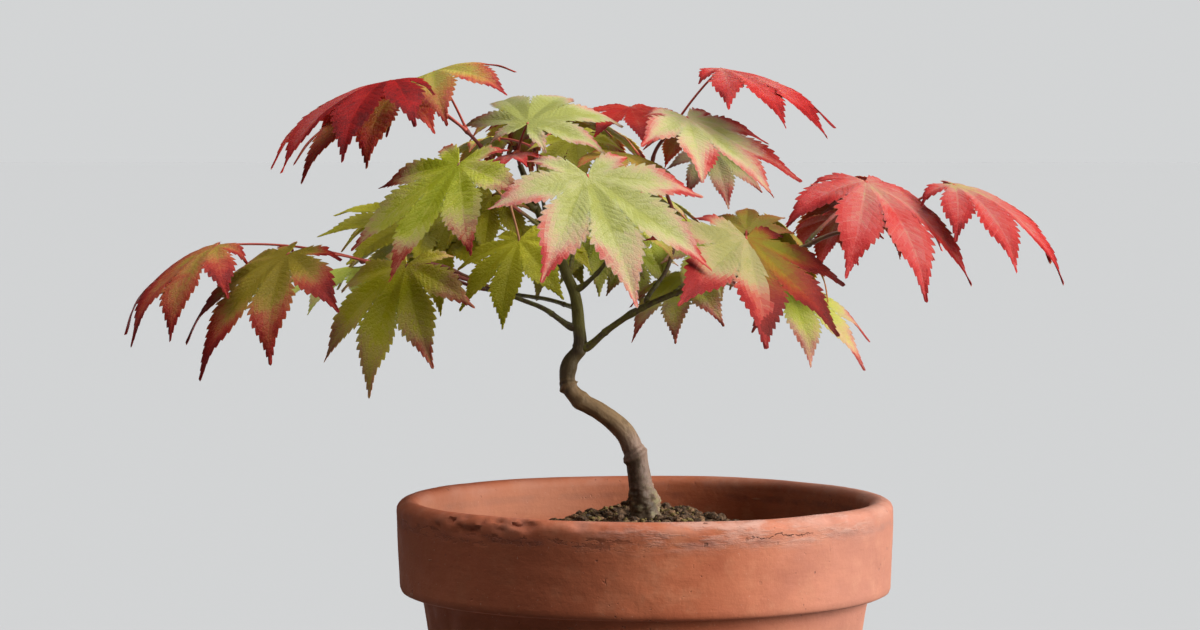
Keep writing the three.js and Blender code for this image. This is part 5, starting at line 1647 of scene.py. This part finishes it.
class MAPLE_OT_stalks(bpy.types.Operator):
    """Grows each mass's twig, its leaf stalks and the buds at its nodes"""

    bl_idname = "maple.stalks"
    bl_label = "Twigs and leaf stalks"

    def twig(self, bundle, path):
        shares = np.linspace(0, 1, max(20, round(path.length / 0.5)))
        distance = shares * path.length
        radius = TWIG_RADIUS - 0.08 * shares
        for node, growth in ((3.0, 0.12), (path.length - 0.8, 0.34)):
            radius = radius + growth * hill(distance - node, 0.7)
        bundle.add(path.along(shares), radius * np.where(shares == 1, 0.6, 1), 14, TWIG)

    def stalk(self, bundle, node, leaf, slot):
        """A stalk that bows a little, thicker where it leaves the twig"""
        span = np.linalg.norm(leaf.hub - node)
        middle = (node + leaf.hub) / 2 + np.array([0, 0, STALK_BOW * span])
        t = np.linspace(0, 1, 30)[:, None]
        centres = (1 - t) ** 2 * node + 2 * t * (1 - t) * middle + t**2 * leaf.hub
        centres = np.vstack([centres, leaf.hub + leaf.ahead * 1.2])
        along = np.concatenate([t[:, 0], [1.0]])
        radii = STALK_RADIUS - 0.07 * along
        radii = radii + 0.34 * hill(along * span, 1.5) + 0.08 * hill((along - 1) * span, 1.5)
        radii[-1] = 0.12
        bundle.add(centres, radii, 10, slot, crosswise(unit(leaf.hub - node)))

    def bud(self, bundle, node, leaf, heading):
        way = unit(unit(leaf.hub - node) + heading * 1.2 + np.array([0, 0, 0.5]))
        size = np.linspace(0, 1, 9)
        round_off = np.sqrt(np.clip(np.sin(np.pi * np.clip(size * 0.9 + 0.1, 0, 1)), 0.003, 1))
        radii = BUD_RADIUS * round_off * (1 - 0.35 * size)
        bundle.add(node + way * (0.3 + BUD_LENGTH * size)[:, None], radii, 10, BUD, crosswise(way))

    def execute(self, context):
        s = context.scene.maple_limbs
        finishes = [
            plain_finish("red_twig", s.shoot, 0.5, 1200, 0.0002),
            plain_finish("bud_scales", tuple(0.8 * c for c in s.shoot), 0.5, 1500, 0.0002),
            plain_finish("coral_stalk", s.stalk, 0.42, 1400, 0.0001),
            plain_finish("green_stalk", s.green_stalk, 0.42, 1400, 0.0001),
        ]
        for spray in grown_sprays(grown_limbs()):
            bundle = Bundle()
            self.twig(bundle, spray.path)
            heading = spray.path.direction(1)
            slot = GREEN_STALK if spray.mass["slot"] == "green_leaves" else CORAL_STALK
            for leaf in spray.leaves:
                self.stalk(bundle, spray.node, leaf, slot)
                self.bud(bundle, spray.node, leaf, heading)
            name = spray.mass["name"].replace("_foliage", "_stalks")
            piece = new_piece(name, np.vstack(bundle.corners) * MM, bundle.faces, finishes, bundle.slots)
            settle(piece, "bark")
        return {"FINISHED"}


class MAPLE_OT_leaves(bpy.types.Operator):
    """Unfolds the toothed, lobed leaves of each mass and deals out their tints"""

    bl_idname = "maple.leaves"
    bl_label = "Leaves"

    def lay_leaf_map(self, piece, grid, flats):
        """The bake's map: each side of each blade laid flat in a cell of its own"""
        cells = math.ceil(math.sqrt(2 * len(flats)))
        corner_of = np.empty(len(piece.data.loops), np.int32)
        piece.data.loops.foreach_get("vertex_index", corner_of)
        per_side = sum(len(face) for face in grid.faces) // 2
        places = np.zeros((len(corner_of), 2), np.float32)
        lower = np.flatnonzero(~grid.rim)
        for k, flat in enumerate(flats):
            both = np.vstack([flat, flat[lower]])
            both = (both - (0.15, 0)) / 2.3 + 0.5
            for side in (0, 1):
                loops = slice((2 * k + side) * per_side, (2 * k + side + 1) * per_side)
                cell = np.array(divmod(2 * k + side, cells), float)
                places[loops] = (both[corner_of[loops] - k * grid.total] + cell) / cells
        piece.data.uv_layers.new(name="OFBake").data.foreach_set("uv", places.ravel())

    def execute(self, context):
        s = context.scene.maple_leaves
        grid = BladeGrid(s.teeth)
        tints = tint_materials(s.tint_steps)
        per_leaf = len(grid.faces) // 2
        row_of, column_of = grid.spots.T[1:]
        vein_rows = (row_of > INNER_ROWS) & ((row_of - INNER_ROWS - 1) % 4 == 3)
        middle = len(COLUMNS) - 1
        midribs = (column_of == middle) | (column_of == middle - 1)
        vein = np.where(midribs, 1.0, 0.7 * vein_rows)
        seed = 100
        for spray in grown_sprays(grown_limbs()):
            corners, faces, slots, flats, used = [], [], [], [], []
            for k, leaf in enumerate(spray.leaves):
                seed += 1
                places, flat, along, aside = blade(leaf, grid, s, seed)
                corners.append(places)
                faces.extend([corner + k * grid.total for corner in face] for face in grid.faces)
                flats.append(flat)
                top = grid.faces[:per_leaf]
                middles = np.array([(along[f].mean(), aside[f].mean(), *flat[f].mean(0)) for f in top])
                turned = leaf.tint.turned(middles[:, 0], middles[:, 1], middles[:, 2:], vein, seed)
                step = (turned * s.tint_steps).astype(int)
                rows = (leaf.tint.row, leaf.tint.left_row)
                used += [row for row in rows if row not in used]
                right, left = (used.index(row) * s.tint_steps for row in rows)
                spots = np.column_stack([middles[:, 2:] * 6, np.full(len(middles), 0.5)])
                wander = LEFT_SIDE_SWAY * noise(spots, seed)
                first = np.where(np.arctan2(middles[:, 3], middles[:, 2]) + wander > LEFT_SIDE, left, right)
                slots += [np.concatenate([first + step, first + step])]
            materials = [material for row in used for material in tints[row]]
            name = spray.mass["name"].replace("_foliage", "_leaves")
            piece = new_piece(name, np.vstack(corners) * MM, faces, materials, np.concatenate(slots))
            ends = np.array([edge.vertices[:] for edge in piece.data.edges])
            rim = np.concatenate([grid.rim, np.zeros(grid.total - grid.count, bool)])
            rim = np.tile(rim, len(spray.leaves))
            sharp = piece.data.attributes.new("sharp_edge", "BOOLEAN", "EDGE")
            sharp.data.foreach_set("value", rim[ends].all(1))
            self.lay_leaf_map(piece, grid, flats)
            if len(piece.data.loops) - 2 * len(piece.data.polygons) > 200000:
                raise RuntimeError(f"{name} has too many triangles")
            settle(piece, spray.mass["slot"], spray.mass["name"])
        return {"FINISHED"}


class MAPLE_OT_stage(bpy.types.Operator):
    """Sets out the pale floor, the soft studio light and the camera"""

    bl_idname = "maple.stage"
    bl_label = "Stage"

    def execute(self, context):
        s = context.scene.maple_stage
        scene = context.scene
        bpy.ops.object.select_all(action="DESELECT")
        bpy.ops.mesh.primitive_circle_add(vertices=96, radius=60, fill_type="NGON", location=(0, 0, 0))
        floor = context.object
        floor.name = "pale_floor"
        f = Finish("pale_floor")
        f.shader.inputs["Specular IOR Level"].default_value = 0.1
        floor.data.materials.append(
            f.finish(tuple(shade * c for shade, c in zip(s.floor_shade, s.backdrop)), 0.95)
        )
        floor.visible_diffuse = False

        world = bpy.data.worlds.new("studio")
        scene.world = world
        world.use_nodes = True
        tree = world.node_tree
        tree.nodes.clear()
        seen = tree.nodes.new("ShaderNodeBackground")
        seen.inputs["Color"].default_value = (*s.backdrop, 1)
        light = tree.nodes.new("ShaderNodeBackground")
        light.inputs["Color"].default_value = (0.95, 0.97, 1.0, 1)
        light.inputs["Strength"].default_value = s.fill_strength
        rays = tree.nodes.new("ShaderNodeLightPath")
        choice = tree.nodes.new("ShaderNodeMixShader")
        output = tree.nodes.new("ShaderNodeOutputWorld")
        tree.links.new(rays.outputs["Is Camera Ray"], choice.inputs[0])
        tree.links.new(light.outputs[0], choice.inputs[1])
        tree.links.new(seen.outputs[0], choice.inputs[2])
        tree.links.new(choice.outputs[0], output.inputs["Surface"])

        for name, strength, width, tone, source in (
            ("key", s.key_strength, 40, (1.0, 0.975, 0.945), (0.90, -0.27, 0.32)),
            ("soft", s.top_strength, 64, (0.96, 0.98, 1.0), (0.0, -0.10, 0.99)),
        ):
            sun = bpy.data.lights.new(name, "SUN")
            sun.energy, sun.angle, sun.color = strength, math.radians(width), tone
            lamp = bpy.data.objects.new(name, sun)
            lamp.rotation_euler = self.aimed(source)
            scene.collection.objects.link(lamp)

        camera = bpy.data.cameras.new("camera")
        camera.lens, camera.sensor_width = s.lens, 36
        camera.clip_start, camera.clip_end = 0.05, 200
        eye = bpy.data.objects.new("camera", camera)
        eye.location = (s.camera_aside, -s.camera_distance, s.camera_height)
        eye.rotation_euler = (math.pi / 2 - s.camera_pitch, 0, 0)
        scene.collection.objects.link(eye)
        scene.camera = eye
        scene.view_settings.view_transform = "Standard"
        return {"FINISHED"}

    @staticmethod
    def aimed(source):
        """The turn of a lamp that shines from this direction"""
        x, y, z = source
        return (math.atan2(math.hypot(x, y), z), 0, math.atan2(y, x) + math.pi / 2)


OPERATORS = [
    MAPLE_OT_pot, MAPLE_OT_soil, MAPLE_OT_trunk, MAPLE_OT_boughs, MAPLE_OT_stalks, MAPLE_OT_leaves,
    MAPLE_OT_stage,
]
SETTINGS = {
    "maple_pot": PotSettings,
    "maple_soil": SoilSettings,
    "maple_limbs": LimbSettings,
    "maple_leaves": LeafSettings,
    "maple_stage": StageSettings,
}


class MAPLE_PT_pieces(bpy.types.Panel):
    """Lists the pieces of the plant and its pot"""

    bl_idname = "MAPLE_PT_pieces"
    bl_label = "Potted Maple"
    bl_space_type = "VIEW_3D"
    bl_region_type = "UI"
    bl_category = "Maple"

    def draw(self, context):
        for operator in OPERATORS:
            self.layout.operator(operator.bl_idname)


def register():
    for settings in SETTINGS.values():
        bpy.utils.register_class(settings)
    for name, settings in SETTINGS.items():
        setattr(bpy.types.Scene, name, PointerProperty(type=settings))
    for operator in OPERATORS:
        bpy.utils.register_class(operator)
    bpy.utils.register_class(MAPLE_PT_pieces)


def unregister():
    bpy.utils.unregister_class(MAPLE_PT_pieces)
    for operator in reversed(OPERATORS):
        bpy.utils.unregister_class(operator)
    for name in SETTINGS:
        delattr(bpy.types.Scene, name)
    for settings in reversed(list(SETTINGS.values())):
        bpy.utils.unregister_class(settings)


def main():
    register()
    bpy.ops.maple.pot()
    bpy.ops.maple.soil()
    bpy.ops.maple.trunk()
    bpy.ops.maple.boughs()
    bpy.ops.maple.stalks()
    bpy.ops.maple.leaves()
    bpy.ops.maple.stage()


if __name__ == "__main__":
    main()
